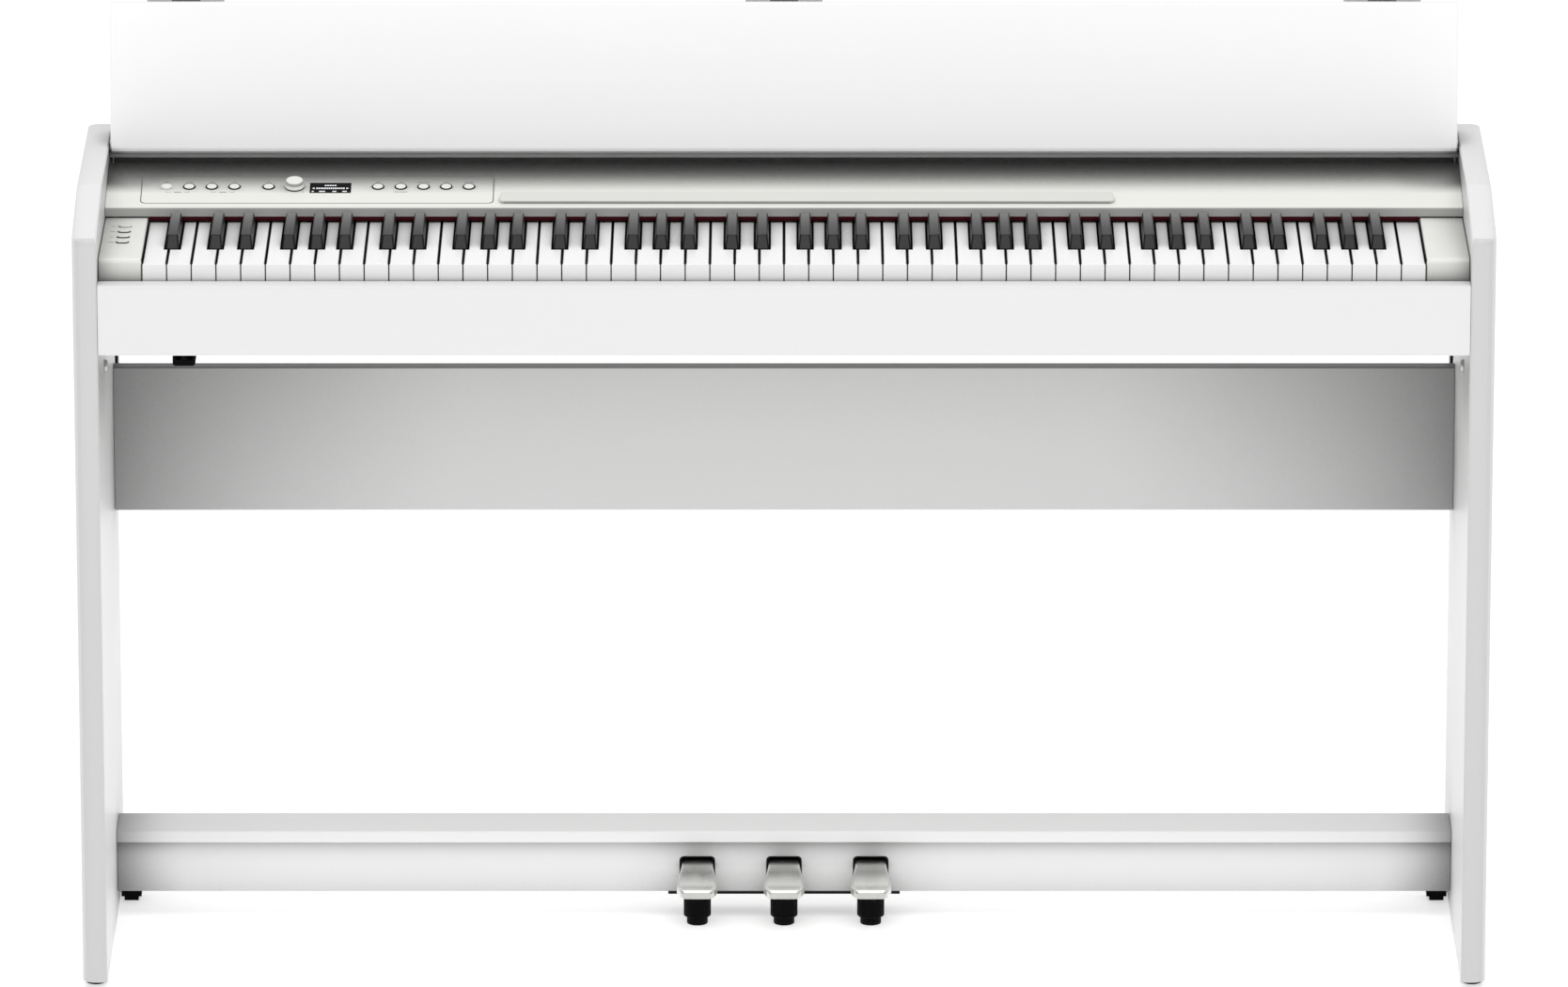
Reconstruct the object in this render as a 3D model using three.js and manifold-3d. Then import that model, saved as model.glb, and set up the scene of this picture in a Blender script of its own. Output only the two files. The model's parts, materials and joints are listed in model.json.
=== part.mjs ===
// Digital piano with 88 keys, a folding lid, a control panel and three pedals.
// Millimetres, +Z up. The origin lies on the floor, midway between the two sides and midway
// between front and rear. The player sits on the -Y side.
import * as THREE from 'three';
import { mergeVertices } from 'three/addons/utils/BufferGeometryUtils.js';
import ManifoldModule from 'manifold-3d';

const manifoldLibrary = await ManifoldModule();
manifoldLibrary.setup();

// Overall size of the cabinet with its lid closed
const overallDepth = 345;
const closedHeight = 778;

// Clearances shared by the whole cabinet
const seatGap = 0.3;
const weldDistance = 0.0001;
const cutOverrun = 2;
const weldOverlap = 2;
const rodSides = 12;

// Side panels
const sideThickness = 24;
const sideFloorGap = 9;
const flapShortfall = 26.4;
const slopeDrop = 22;
const noseRadius = 8;
const sideOuterRound = 12;
const sideTopRound = 3;
const sideInnerRound = 1.5;
const sideRoundSteps = 4;
const sideCornerSteps = 4;

// Lid: a rear panel on two stub pins and a front flap folded behind it
const lidThickness = 15;
const lidSideGap = 1.8;
const lidAxisBehindPanel = 9.4;
const lidAxisBelowTop = 5;
const lidTail = 4;
const lidLean = 10;
const lidEdgeRound = 1.5;
const lidEndEdge = 1;
const lidTailRound = 6;
const lidPinRadius = 2.5;
const lidPinLength = 9;
const foldAxisAboveTop = 1;
const foldEndGap = 3.5;
const lipThickness = 13.5;
const lipHeight = 41.5;

// Fold hinges between panel and flap
const foldHingeLength = 75;
const foldHingeFromEnd = 73.2;
const foldBarrelRadius = 2.9;
const foldPinRadius = 1.2;
const foldBarrelSides = 8;
const foldLeafThickness = 0.8;
const foldLeafWidth = 20;
const flapKnuckleLength = 28;

// Top board, back cover and key bed
const topBoardThickness = 15;
const topBoardFromLidAxis = 6.2;
const stopBevelDepth = 3.7;
const boardEdge = 1;
const backCoverThickness = 4;
const backCoverInset = 2;
const keyBedBelowKeyTop = 86;
const keyBedThickness = 15;

// Key slip, the rail in front of the keys
const keySlipSetback = 2;
const keySlipThickness = 18;
const keySlipHeight = 70;
const keySlipRound = 3;

// Keyboard
const whiteKeyCount = 52;
const keyCount = 88;
const middleCKey = 40;
const keyFrontSetback = 23;
const keyTopBelowLid = 52;
const whiteKeyPitch = 23.6;
const whiteKeyGap = 1;
const whiteKeyHeight = 20;
const whiteHeadLength = 51.5;
const whiteKeyEdge = 0.9;
const visibleKeyLength = 148;
const keyRearLength = 244;
const blackKeyWidth = 13;
const blackTopWidth = 10.2;
const blackKeyRise = 11.6;
const blackKeyFront = 54.5;
const blackFrontSlope = 8;
const blackKeyFeltGap = 1.6;
const blackRearSlope = 2.4;
const blackKeyEdge = 0.9;
const blackKeyGap = 0.9;
const blackKeySkirt = 23;
const blackStemWidth = 10.6;
const blackStemDrop = 3;
const blackCornerCut = 1.4;
const blackCornerSteps = 1;
const blackOffsetOuter = 3.3;
const blackOffsetInner = 2.7;

// Key pivot, chassis rails and comb rails
const pivotFromKeyFront = 228;
const pivotRodRadius = 4;
const pivotWebThickness = 4;
const combRailDepth = 8;
const combRailHeight = 14;
const blackRailFromKeyFront = 206;
const blackRailHeight = 5;
const blackRailDrop = 0.5;
const chassisRearRailFront = 204;
const chassisRearRailDepth = 44;
const chassisRearTopDrop = 5.8;
const chassisFrontRailFront = 20;
const chassisFrontRailDepth = 26;
const chassisFrontRailHeight = 38;
const chassisRibThickness = 3;
const chassisRibHeight = 24;
const chassisBaysBetweenSpeakers = 4;

// Cheek blocks at both ends of the keyboard
const cheekWidth = 42.4;
const cheekRise = 5;
const cheekKeyGap = 1;
const cheekRound = 4;
const cheekButtonCount = 4;
const cheekButtonPitch = 18.8;
const cheekButtonLength = 11.8;
const cheekButtonWidth = 7.6;
const cheekButtonFirst = 59.3;
const cheekArcSteps = 6;

// Control panel
const panelFaceHeight = 9.6;
const panelDepth = 88;
const panelUnderLidGap = 1.2;
const panelWall = 3;
const panelFaceRound = 2.5;
const panelRearFlange = 26;
const feltHeight = 4.2;
const feltDepth = 3.2;
const feltSetForward = 1;
const feltKeyGap = 1.5;

// What sits on the control panel, placed along its slope
const plateFromSide = 34.2;
const plateEndMargin = 23.8;
const plateGap = 0.5;
const plateLower = 7.8;
const plateUpper = 63;
const plateThickness = 1.3;
const plateLowerRound = 5;
const plateUpperRound = 1.5;
const plateRim = 9;
const plateOpeningHalf = 14;
const controlRow = 41.2;
const buttonRadius = 5.4;
const buttonHoleGap = 0.8;
const buttonRise = 1.8;
const buttonDepth = 7;
const buttonCrown = 0.6;
const buttonSides = 14;
const powerButtonOffset = 23.9;
const leftButtonPitch = 21.9;
const singleButtonOffset = 122.7;
const rightButtonsOffset = 228.7;
const rightButtonPitch = 22;
const leftButtonCount = 3;
const rightButtonCount = 5;
const dialOffset = 147.9;
const dialRow = 40.4;
const dialRadius = 9.3;
const dialCapRadius = 8.3;
const dialHeight = 8.2;
const dialBaseHeight = 2;
const dialShaftRadius = 3;
const dialSides = 20;
const displayOffset = 162.9;
const displayWidth = 39.5;
const displayLower = 28.8;
const displayHeight = 20.4;
const ledgeFromPlate = 4.3;
const ledgeLength = 598;
const ledgeLower = 6.6;
const ledgeUpper = 25.1;
const ledgeHeight = 3;
const ledgeEndSlant = 4;
const ledgeLowerRound = 5;
const ledgeEdge = 0.8;

// Boards below: rear board and pedal board
const rearBoardFromRear = 72;
const rearBoardBelowKeyBed = 89;
const rearBoardHeight = 146;
const rearBoardThickness = 16;
const pedalBoardFromRear = 136;
const pedalBoardDepth = 59;
const pedalBoardTop = 95;
const pedalBoardThickness = 12;
const pedalFaceSetback = 10;
const pedalFaceThickness = 16;
const pedalFaceBottom = 30;

// Pedals
const pedalPitch = 85.3;
const pedalPivotFromFace = 40;
const pedalPivotHeight = 56.5;
const pedalThickness = 9.5;
const pedalReach = 105;
const pedalTail = 7;
const pedalTopAtPivot = 62;
const pedalTipTop = 52.5;
const pedalNeckWidth = 29.6;
const pedalTipWidth = 39.6;
const pedalTailWidth = 22;
const pedalEdge = 2.2;
const pedalPinRadius = 3;
const pedalCornerSteps = 2;
const slotWidth = 35;
const slotTop = 66;
const slotRound = 4;
const slotLinerThickness = 1;
const housingTop = 70;
const housingWall = 2.2;
const lugThickness = 3;
const lugSideGap = 2;
const lugHalfDepth = 7;
const lugTopAbovePin = 6;
const pedalPlateHalfWidth = 114;
const pedalPlateThickness = 2.7;
const pedalPlateDepth = 52;
const adjusterForward = 8;
const adjusterRadius = 13;
const adjusterPadRadius = 10;
const adjusterPadHeight = 8;
const adjusterSides = 12;

// Feet
const frontFootRadius = 10;
const frontFootStemRadius = 6;
const frontFootFromFront = 31;
const frontFootPadHeight = 4;
const rearFootWidth = 20;
const rearFootDepth = 20;
const rearFootHeight = 46;
const rearFootFromRear = 65;
const rearFootPadHeight = 4;
const rearFootPadInset = 3;

// Headphone box and speakers under the key bed
const jackBoxFromSide = 81;
const jackBoxWidth = 22;
const jackBoxHeight = 18;
const jackBoxDepth = 58;
const jackBoxFromKeyFront = 10;
const jackBoxRound = 3;
const jackRadius = 3.4;
const jackDepth = 16;
const jackRise = 9;
const speakerFromSide = 176;
const speakerFromKeyFront = 125;
const speakerRadius = 58;
const speakerFlange = 3;
const speakerOpening = 50;
const speakerHoleGap = 1.5;
const speakerMagnetRadius = 27;
const speakerDepth = 42;
const speakerMagnetHeight = 21;
const speakerDomeRadius = 13.5;
const speakerDomeEdge = 14;
const speakerDomeTop = 10.5;
const speakerSides = 16;

// Places worked out from the sizes above
const frontY = -overallDepth / 2;
const rearY = overallDepth / 2;
const keyboardHalf = whiteKeyCount * whiteKeyPitch / 2;
const innerX = keyboardHalf + cheekWidth;
const outerX = innerX + sideThickness;
const fitX = innerX - seatGap;
const keyFrontY = frontY + keyFrontSetback;
const keyRearY = keyFrontY + keyRearLength;
const keyTopZ = closedHeight - keyTopBelowLid;
const keyBottomZ = keyTopZ - whiteKeyHeight;
const pivotY = keyFrontY + pivotFromKeyFront;
const pivotZ = keyBottomZ;
const keyBedBottom = keyTopZ - keyBedBelowKeyTop;
const keyBedTop = keyBedBottom + keyBedThickness;
const slopeFrontZ = closedHeight - slopeDrop;
const lidAxisZ = closedHeight - lidAxisBelowTop;
const lidUndersideZ = closedHeight - lidThickness;
const lidHalfWidth = innerX - lidSideGap;
const foldHingeSpacing = lidHalfWidth - foldHingeFromEnd;
const panelFrontY = keyFrontY + visibleKeyLength;
const panelRearY = panelFrontY + panelDepth;
const blackKeyRearY = panelFrontY - feltSetForward - blackKeyFeltGap;
const lidAxisY = panelRearY + lidAxisBehindPanel;
const slopeRun = (lidAxisY - frontY - flapShortfall) / 2;
const slopeBreakY = frontY + slopeRun;
const topBoardFrontY = lidAxisY + topBoardFromLidAxis;
const panelBottomZ = keyTopZ + feltKeyGap + feltHeight + seatGap;
const panelFrontZ = panelBottomZ + panelFaceHeight;
const panelRearZ = lidUndersideZ - panelUnderLidGap;
const panelSlope = Math.atan2(panelRearZ - panelFrontZ, panelDepth);
const plateLeft = -innerX + plateFromSide;
const powerButtonX = plateLeft + powerButtonOffset;
const singleButtonX = plateLeft + singleButtonOffset;
const rightButtonX = plateLeft + rightButtonsOffset;
const lastButtonX = rightButtonX + (rightButtonCount - 1) * rightButtonPitch;
const plateRight = lastButtonX + plateEndMargin;
const dialX = plateLeft + dialOffset;
const displayLeft = plateLeft + displayOffset;
const ledgeLeft = plateRight + ledgeFromPlate;
const ledgeRight = ledgeLeft + ledgeLength;
const rearBoardFront = rearY - rearBoardFromRear;
const rearBoardTop = keyBedBottom - rearBoardBelowKeyBed;
const rearBoardBottom = rearBoardTop - rearBoardHeight;
const rearFootFront = rearY - rearFootFromRear;
const jackBoxX = -innerX + jackBoxFromSide;
const speakerX = innerX - speakerFromSide;
const pedalBoardFront = rearY - pedalBoardFromRear;
const pedalFaceY = pedalBoardFront + pedalFaceSetback;
const pedalFaceRear = pedalFaceY + pedalFaceThickness;
const pedalPivotY = pedalFaceY + pedalPivotFromFace;
const pedalPlateTop = pedalFaceBottom - seatGap;
const pedalPlateBottom = pedalPlateTop - pedalPlateThickness;

const fullTurn = 2 * Math.PI;
const quarterTurn = Math.PI / 2;

// Turns a closed geometry into a solid that can be joined and cut.
function toSolid(geometry) {
  geometry.deleteAttribute('normal');
  geometry.deleteAttribute('uv');
  const merged = mergeVertices(geometry, weldDistance);
  return new manifoldLibrary.Manifold(new manifoldLibrary.Mesh({
    numProp: 3,
    vertProperties: Float32Array.from(merged.attributes.position.array),
    triVerts: Uint32Array.from(merged.index.array),
  }));
}

function toGeometry(solid) {
  const mesh = solid.getMesh();
  const geometry = new THREE.BufferGeometry();
  const positions = new Float32Array(mesh.numVert * 3);
  for (let vertex = 0; vertex < mesh.numVert; vertex += 1) {
    for (let axis = 0; axis < 3; axis += 1) {
      positions[3 * vertex + axis] = mesh.vertProperties[mesh.numProp * vertex + axis];
    }
  }
  geometry.setAttribute('position', new THREE.BufferAttribute(positions, 3));
  geometry.setIndex(new THREE.BufferAttribute(Uint32Array.from(mesh.triVerts), 1));
  geometry.computeVertexNormals();
  return geometry;
}

function joined(solids) {
  return solids.reduce((whole, next) => whole.add(next));
}

function cut(solid, cutters) {
  return cutters.reduce((rest, cutter) => rest.subtract(cutter), solid);
}

function box([x0, x1], [y0, y1], [z0, z1]) {
  const geometry = new THREE.BoxGeometry(x1 - x0, y1 - y0, z1 - z0);
  geometry.translate((x0 + x1) / 2, (y0 + y1) / 2, (z0 + z1) / 2);
  return toSolid(geometry);
}

// Outline through corners [a, b, radius], listed counterclockwise, with each corner rounded.
function filletedOutline(corners, stepsPerCorner = 3) {
  return corners.flatMap(([a, b, radius = 0], index) => {
    const corner = new THREE.Vector2(a, b);
    if (radius === 0) {
      return [corner];
    }
    const before = corners[(index + corners.length - 1) % corners.length];
    const after = corners[(index + 1) % corners.length];
    const toBefore = new THREE.Vector2(before[0], before[1]).sub(corner).normalize();
    const toAfter = new THREE.Vector2(after[0], after[1]).sub(corner).normalize();
    const halfAngle = Math.acos(toBefore.dot(toAfter)) / 2;
    const centre = toBefore.clone().add(toAfter).normalize()
      .multiplyScalar(radius / Math.sin(halfAngle)).add(corner);
    const tangent = radius / Math.tan(halfAngle);
    const start = corner.clone().addScaledVector(toBefore, tangent).sub(centre);
    const side = Math.sign(toBefore.cross(toAfter)) || 1;
    const sweep = -side * (Math.PI - 2 * halfAngle);
    const arc = [];
    for (let step = 0; step <= stepsPerCorner; step += 1) {
      const turned = start.clone().rotateAround(new THREE.Vector2(), sweep * step / stepsPerCorner);
      arc.push(turned.add(centre));
    }
    return arc;
  });
}

function circleOutline(centreA, centreB, radius, sides) {
  const points = [];
  for (let index = 0; index < sides; index += 1) {
    const angle = fullTurn * (index + 0.5) / sides;
    points.push(new THREE.Vector2(
      centreA + radius * Math.cos(angle),
      centreB + radius * Math.sin(angle),
    ));
  }
  return points;
}

// Moves every edge of a counterclockwise outline inwards by one distance.
function insetOutline(outline, distance) {
  return outline.map((point, index) => {
    const before = outline[(index + outline.length - 1) % outline.length];
    const after = outline[(index + 1) % outline.length];
    const incoming = point.clone().sub(before).normalize();
    const outgoing = after.clone().sub(point).normalize();
    const normalIn = new THREE.Vector2(-incoming.y, incoming.x);
    const normalOut = new THREE.Vector2(-outgoing.y, outgoing.x);
    const reach = distance / (1 + normalIn.dot(normalOut));
    return point.clone().addScaledVector(normalIn.add(normalOut), reach);
  });
}

// Skin through sections { at, outline } with equal point counts. The directions place the
// outline's two coordinates and the distance along the loft, in a right-handed order.
function loft(sections, [directionA, directionB, directionAt]) {
  const count = sections[0].outline.length;
  const positions = sections.flatMap(({ at, outline }) => outline.flatMap((point) => {
    const place = new THREE.Vector3()
      .addScaledVector(directionA, point.x)
      .addScaledVector(directionB, point.y)
      .addScaledVector(directionAt, at);
    return place.toArray();
  }));
  const faces = [];
  for (let ring = 0; ring + 1 < sections.length; ring += 1) {
    for (let index = 0; index < count; index += 1) {
      const next = (index + 1) % count;
      const low = ring * count;
      const high = low + count;
      faces.push(low + index, low + next, high + next, low + index, high + next, high + index);
    }
  }
  const lastRing = (sections.length - 1) * count;
  for (const [a, b, c] of THREE.ShapeUtils.triangulateShape(sections[0].outline, [])) {
    faces.push(c, b, a);
  }
  for (const [a, b, c] of THREE.ShapeUtils.triangulateShape(sections.at(-1).outline, [])) {
    faces.push(lastRing + a, lastRing + b, lastRing + c);
  }
  const geometry = new THREE.BufferGeometry();
  geometry.setAttribute('position', new THREE.Float32BufferAttribute(positions, 3));
  geometry.setIndex(faces);
  return toSolid(geometry);
}

const axisX = new THREE.Vector3(1, 0, 0);
const axisY = new THREE.Vector3(0, 1, 0);
const axisZ = new THREE.Vector3(0, 0, 1);
const alongX = [axisY, axisZ, axisX];
const alongZ = [axisX, axisY, axisZ];
const towardsPlayer = [axisX, axisZ, axisY.clone().negate()];

function prism(outline, [from, to], directions) {
  return loft([{ at: from, outline }, { at: to, outline }], directions);
}

// Prism whose two end faces have softened edges.
function softPrism(outline, [from, to], edge, directions) {
  const inner = insetOutline(outline, edge);
  return loft([
    { at: from, outline: inner },
    { at: from + edge, outline },
    { at: to - edge, outline },
    { at: to, outline: inner },
  ], directions);
}

// Prism with a softened edge on its upper end only.
function capPrism(outline, [from, to], edge, directions) {
  return loft([
    { at: from, outline },
    { at: to - edge, outline },
    { at: to, outline: insetOutline(outline, edge) },
  ], directions);
}

function rectangle([a0, a1], [b0, b1], radius = 0) {
  return filletedOutline([
    [a0, b0, radius], [a1, b0, radius], [a1, b1, radius], [a0, b1, radius],
  ]);
}

// A board that runs from side panel to side panel, with softened long edges.
function crossBoard([y0, y1], [z0, z1], edge) {
  const outline = filletedOutline([
    [y0, z0, edge], [y1, z0, edge], [y1, z1, edge], [y0, z1, edge],
  ], 1);
  return prism(outline, [-fitX, fitX], alongX);
}

// Scene graph
const piano = new THREE.Group();
const colours = {
  cabinet: { color: 0xf0f0ee, roughness: 0.35, metalness: 0 },
  panel: { color: 0xdedfd8, roughness: 0.5, metalness: 0 },
  whiteKey: { color: 0xf6f6f4, roughness: 0.3, metalness: 0 },
  blackKey: { color: 0x2e2e2f, roughness: 0.5, metalness: 0 },
  felt: { color: 0x4a1019, roughness: 0.95, metalness: 0 },
  blackPlastic: { color: 0x141414, roughness: 0.55, metalness: 0 },
  glass: { color: 0x08080a, roughness: 0.1, metalness: 0 },
  pedal: { color: 0xb9b6b0, roughness: 0.25, metalness: 1 },
  steel: { color: 0x8d8f90, roughness: 0.4, metalness: 1 },
  board: { color: 0xa98f6c, roughness: 0.8, metalness: 0 },
};

function addPiece(name, solid, finish, parent = piano) {
  const mesh = new THREE.Mesh(toGeometry(solid), new THREE.MeshStandardMaterial(colours[finish]));
  mesh.name = name;
  parent.add(mesh);
  return mesh;
}

// Profile of a side panel in (y, z): level top, slope to the front, rounded nose.
function sideProfile(frontInset, topInset) {
  return filletedOutline([
    [frontY + frontInset, sideFloorGap],
    [rearY, sideFloorGap],
    [rearY, closedHeight - topInset],
    [slopeBreakY, closedHeight - topInset],
    [frontY + frontInset, slopeFrontZ - topInset, noseRadius],
  ], sideCornerSteps);
}

// The side panel on the +X side: its outer front edge is well rounded, its inner edge lightly.
function sidePanelSections() {
  const sections = [
    { at: innerX, outline: sideProfile(sideInnerRound, sideInnerRound) },
    { at: innerX + sideInnerRound, outline: sideProfile(0, 0) },
  ];
  for (let step = 0; step <= sideRoundSteps; step += 1) {
    const angle = quarterTurn * step / sideRoundSteps;
    const inset = 1 - Math.cos(angle);
    sections.push({
      at: outerX - sideOuterRound * (1 - Math.sin(angle)),
      outline: sideProfile(sideOuterRound * inset, sideTopRound * inset),
    });
  }
  return sections;
}

function mirroredSections(sections) {
  return sections.map(({ at, outline }) => ({ at: -at, outline })).reverse();
}

function addSidePanels() {
  const right = sidePanelSections();
  const socketRadius = lidPinRadius + seatGap;
  const socketReach = lidSideGap + lidPinLength + seatGap;
  const socketOutline = circleOutline(lidAxisY, lidAxisZ, socketRadius, rodSides);
  const rightSocket = prism(socketOutline, [lidHalfWidth, lidHalfWidth + socketReach], alongX);
  const leftSocket = prism(socketOutline, [-lidHalfWidth - socketReach, -lidHalfWidth], alongX);
  addPiece('side_panel_right', cut(loft(right, alongX), [rightSocket]), 'cabinet');
  addPiece('side_panel_left', cut(loft(mirroredSections(right), alongX), [leftSocket]), 'cabinet');
}

// The board behind the lid. Its bevelled front edge is the stop that the open lid leans on.
function addTopBoard() {
  const bevelRun = stopBevelDepth * Math.tan(THREE.MathUtils.degToRad(lidLean));
  const bottom = closedHeight - topBoardThickness;
  const outline = filletedOutline([
    [topBoardFrontY, bottom],
    [rearY - seatGap, bottom],
    [rearY - seatGap, closedHeight, sideTopRound],
    [topBoardFrontY + bevelRun, closedHeight],
    [topBoardFrontY, closedHeight - stopBevelDepth],
  ]);
  addPiece('top_board', prism(outline, [-fitX, fitX], alongX), 'cabinet');
}

function addCabinetBoards() {
  const coverRear = rearY - backCoverInset;
  const coverFront = coverRear - backCoverThickness;
  const coverTop = closedHeight - topBoardThickness - seatGap;
  const cover = box([-fitX, fitX], [coverFront, coverRear], [keyBedBottom, coverTop]);
  addPiece('back_cover', cover, 'cabinet');
  const rearBoardY = [rearBoardFront, rearBoardFront + rearBoardThickness];
  const rearBoard = crossBoard(rearBoardY, [rearBoardBottom, rearBoardTop], boardEdge);
  addPiece('rear_board', rearBoard, 'cabinet');
  const slipFront = frontY + keySlipSetback;
  const slipBack = slipFront + keySlipThickness;
  const slipTop = keyBedBottom + keySlipHeight;
  const slipOutline = filletedOutline([
    [slipFront, keyBedBottom, keySlipRound],
    [slipBack, keyBedBottom],
    [slipBack, slipTop, boardEdge],
    [slipFront, slipTop, keySlipRound],
  ]);
  addPiece('key_slip', prism(slipOutline, [-fitX, fitX], alongX), 'cabinet');
  const bedFront = slipBack + seatGap;
  const bed = box([-fitX, fitX], [bedFront, coverFront - seatGap], [keyBedBottom, keyBedTop]);
  const speakerHoles = [-speakerX, speakerX].map((x) => prism(
    circleOutline(x, keyFrontY + speakerFromKeyFront, speakerOpening + speakerHoleGap, speakerSides),
    [keyBedBottom - cutOverrun, keyBedTop + cutOverrun],
    alongZ,
  ));
  addPiece('key_bed', cut(bed, speakerHoles), 'board');
}

// Speaker as a turned body: flange below the bed, cone, basket and magnet.
function speakerSolid() {
  const profile = [
    [0, speakerDepth],
    [speakerMagnetRadius, speakerDepth],
    [speakerMagnetRadius, speakerMagnetHeight],
    [speakerOpening, speakerFlange],
    [speakerRadius, speakerFlange],
    [speakerRadius, 0],
    [speakerOpening - speakerFlange, 0],
    [speakerDomeRadius, speakerDomeEdge],
    [0, speakerDomeTop],
  ].map(([radius, height]) => new THREE.Vector2(radius, height));
  const geometry = new THREE.LatheGeometry(profile.reverse(), speakerSides);
  geometry.rotateX(quarterTurn);
  return toSolid(geometry);
}

function addSpeakers() {
  const flangeTop = keyBedBottom - seatGap;
  for (const [name, x] of [['speaker_left', -speakerX], ['speaker_right', speakerX]]) {
    const speaker = addPiece(name, speakerSolid(), 'blackPlastic');
    speaker.position.set(x, keyFrontY + speakerFromKeyFront, flangeTop - speakerFlange);
  }
}

// Keyboard. Notes count from 0 at C; the lowest key is an A.
const lowestNote = 9;
const notesPerOctave = 12;
const blackOffsets = {
  1: -blackOffsetInner, 3: blackOffsetInner, 6: -blackOffsetOuter, 8: 0, 10: blackOffsetOuter,
};
const noteNames = [
  'c', 'c_sharp', 'd', 'd_sharp', 'e', 'f', 'f_sharp', 'g', 'g_sharp', 'a', 'a_sharp', 'b',
];

// Every key with its colour and place. A black key lies near the boundary after its white key.
function layOutKeys() {
  const keys = [];
  let whitesBefore = 0;
  for (let index = 0; index < keyCount; index += 1) {
    const note = (index + lowestNote) % notesPerOctave;
    const boundary = -keyboardHalf + whitesBefore * whiteKeyPitch;
    const black = note in blackOffsets;
    if (black) {
      keys.push({ note, black, centre: boundary + blackOffsets[note] });
    } else {
      keys.push({ note, black, left: boundary, right: boundary + whiteKeyPitch });
      whitesBefore += 1;
    }
  }
  return keys;
}

function whiteKeySolid(keys, index) {
  const { left, right } = keys[index];
  const notchHalf = blackKeyWidth / 2 + blackKeyGap;
  const headLeft = left + whiteKeyGap / 2;
  const headRight = right - whiteKeyGap / 2;
  const headBack = keyFrontY + whiteHeadLength;
  const blackBefore = keys[index - 1]?.black;
  const blackAfter = keys[index + 1]?.black;
  const outline = [[headLeft, keyFrontY], [headRight, keyFrontY]];
  if (blackAfter) {
    const stemRight = keys[index + 1].centre - notchHalf;
    outline.push([headRight, headBack], [stemRight, headBack], [stemRight, keyRearY]);
  } else {
    outline.push([headRight, keyRearY]);
  }
  if (blackBefore) {
    const stemLeft = keys[index - 1].centre + notchHalf;
    outline.push([stemLeft, keyRearY], [stemLeft, headBack], [headLeft, headBack]);
  } else {
    outline.push([headLeft, keyRearY]);
  }
  const points = outline.map(([x, y]) => new THREE.Vector2(x, y));
  return capPrism(points, [keyBottomZ, keyTopZ], whiteKeyEdge, alongZ);
}

// Plan outline of a black key, with its four corners cut.
function blackOutline(centre, width, front, back) {
  return filletedOutline([
    [centre - width / 2, front, blackCornerCut],
    [centre + width / 2, front, blackCornerCut],
    [centre + width / 2, back, blackCornerCut],
    [centre - width / 2, back, blackCornerCut],
  ], blackCornerSteps);
}

function blackKeySolid({ centre }) {
  const front = keyFrontY + blackKeyFront;
  const rear = keyRearY - whiteKeyGap;
  const base = blackOutline(centre, blackKeyWidth, front, blackKeyRearY);
  const top = blackOutline(
    centre,
    blackTopWidth,
    front + blackFrontSlope,
    blackKeyRearY - blackRearSlope,
  );
  const capTop = keyTopZ + blackKeyRise;
  const skirtBottom = keyTopZ - blackKeySkirt;
  const cap = loft([
    { at: skirtBottom, outline: base },
    { at: keyTopZ, outline: base },
    { at: capTop - blackKeyEdge, outline: top },
    { at: capTop, outline: insetOutline(top, blackKeyEdge) },
  ], alongZ);
  const stem = box(
    [centre - blackStemWidth / 2, centre + blackStemWidth / 2],
    [front + blackFrontSlope, rear],
    [skirtBottom, keyTopZ - blackStemDrop],
  );
  return cap.add(stem);
}

// Groove under a key's rear end that sits over the pivot rod.
function pivotGroove(x0, x1) {
  const radius = pivotRodRadius + seatGap;
  const groove = prism(circleOutline(pivotY, pivotZ, radius, rodSides), [x0, x1], alongX);
  const slot = box([x0, x1], [pivotY - radius, pivotY + radius], [pivotZ - whiteKeyHeight, pivotZ]);
  return groove.add(slot);
}

function keySpan(key) {
  return key.black
    ? [key.centre - blackKeyWidth / 2, key.centre + blackKeyWidth / 2]
    : [key.left, key.right];
}

// The keys of one colour in a range, moulded on one rear rail as a comb.
function addKeyComb(name, keys, [first, last], black) {
  const indexes = keys.map((key, index) => index)
    .filter((index) => index >= first && index <= last && keys[index].black === black);
  const solids = indexes.map((index) => (
    black ? blackKeySolid(keys[index]) : whiteKeySolid(keys, index)
  ));
  const railX = [
    keySpan(keys[indexes[0]])[0] + whiteKeyGap,
    keySpan(keys[indexes.at(-1)])[1] - whiteKeyGap,
  ];
  const blackRailY = keyFrontY + blackRailFromKeyFront;
  const blackRailTop = keyBottomZ - blackRailDrop;
  const blackRail = [
    [blackRailY, blackRailY + combRailDepth],
    [blackRailTop - blackRailHeight, blackRailTop],
  ];
  const whiteRail = [
    [keyRearY - seatGap, keyRearY + combRailDepth],
    [keyBottomZ, keyBottomZ + combRailHeight],
  ];
  const rail = box(railX, ...(black ? blackRail : whiteRail));
  addPiece(name, joined([rail, ...solids]), black ? 'blackKey' : 'whiteKey');
}

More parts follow.
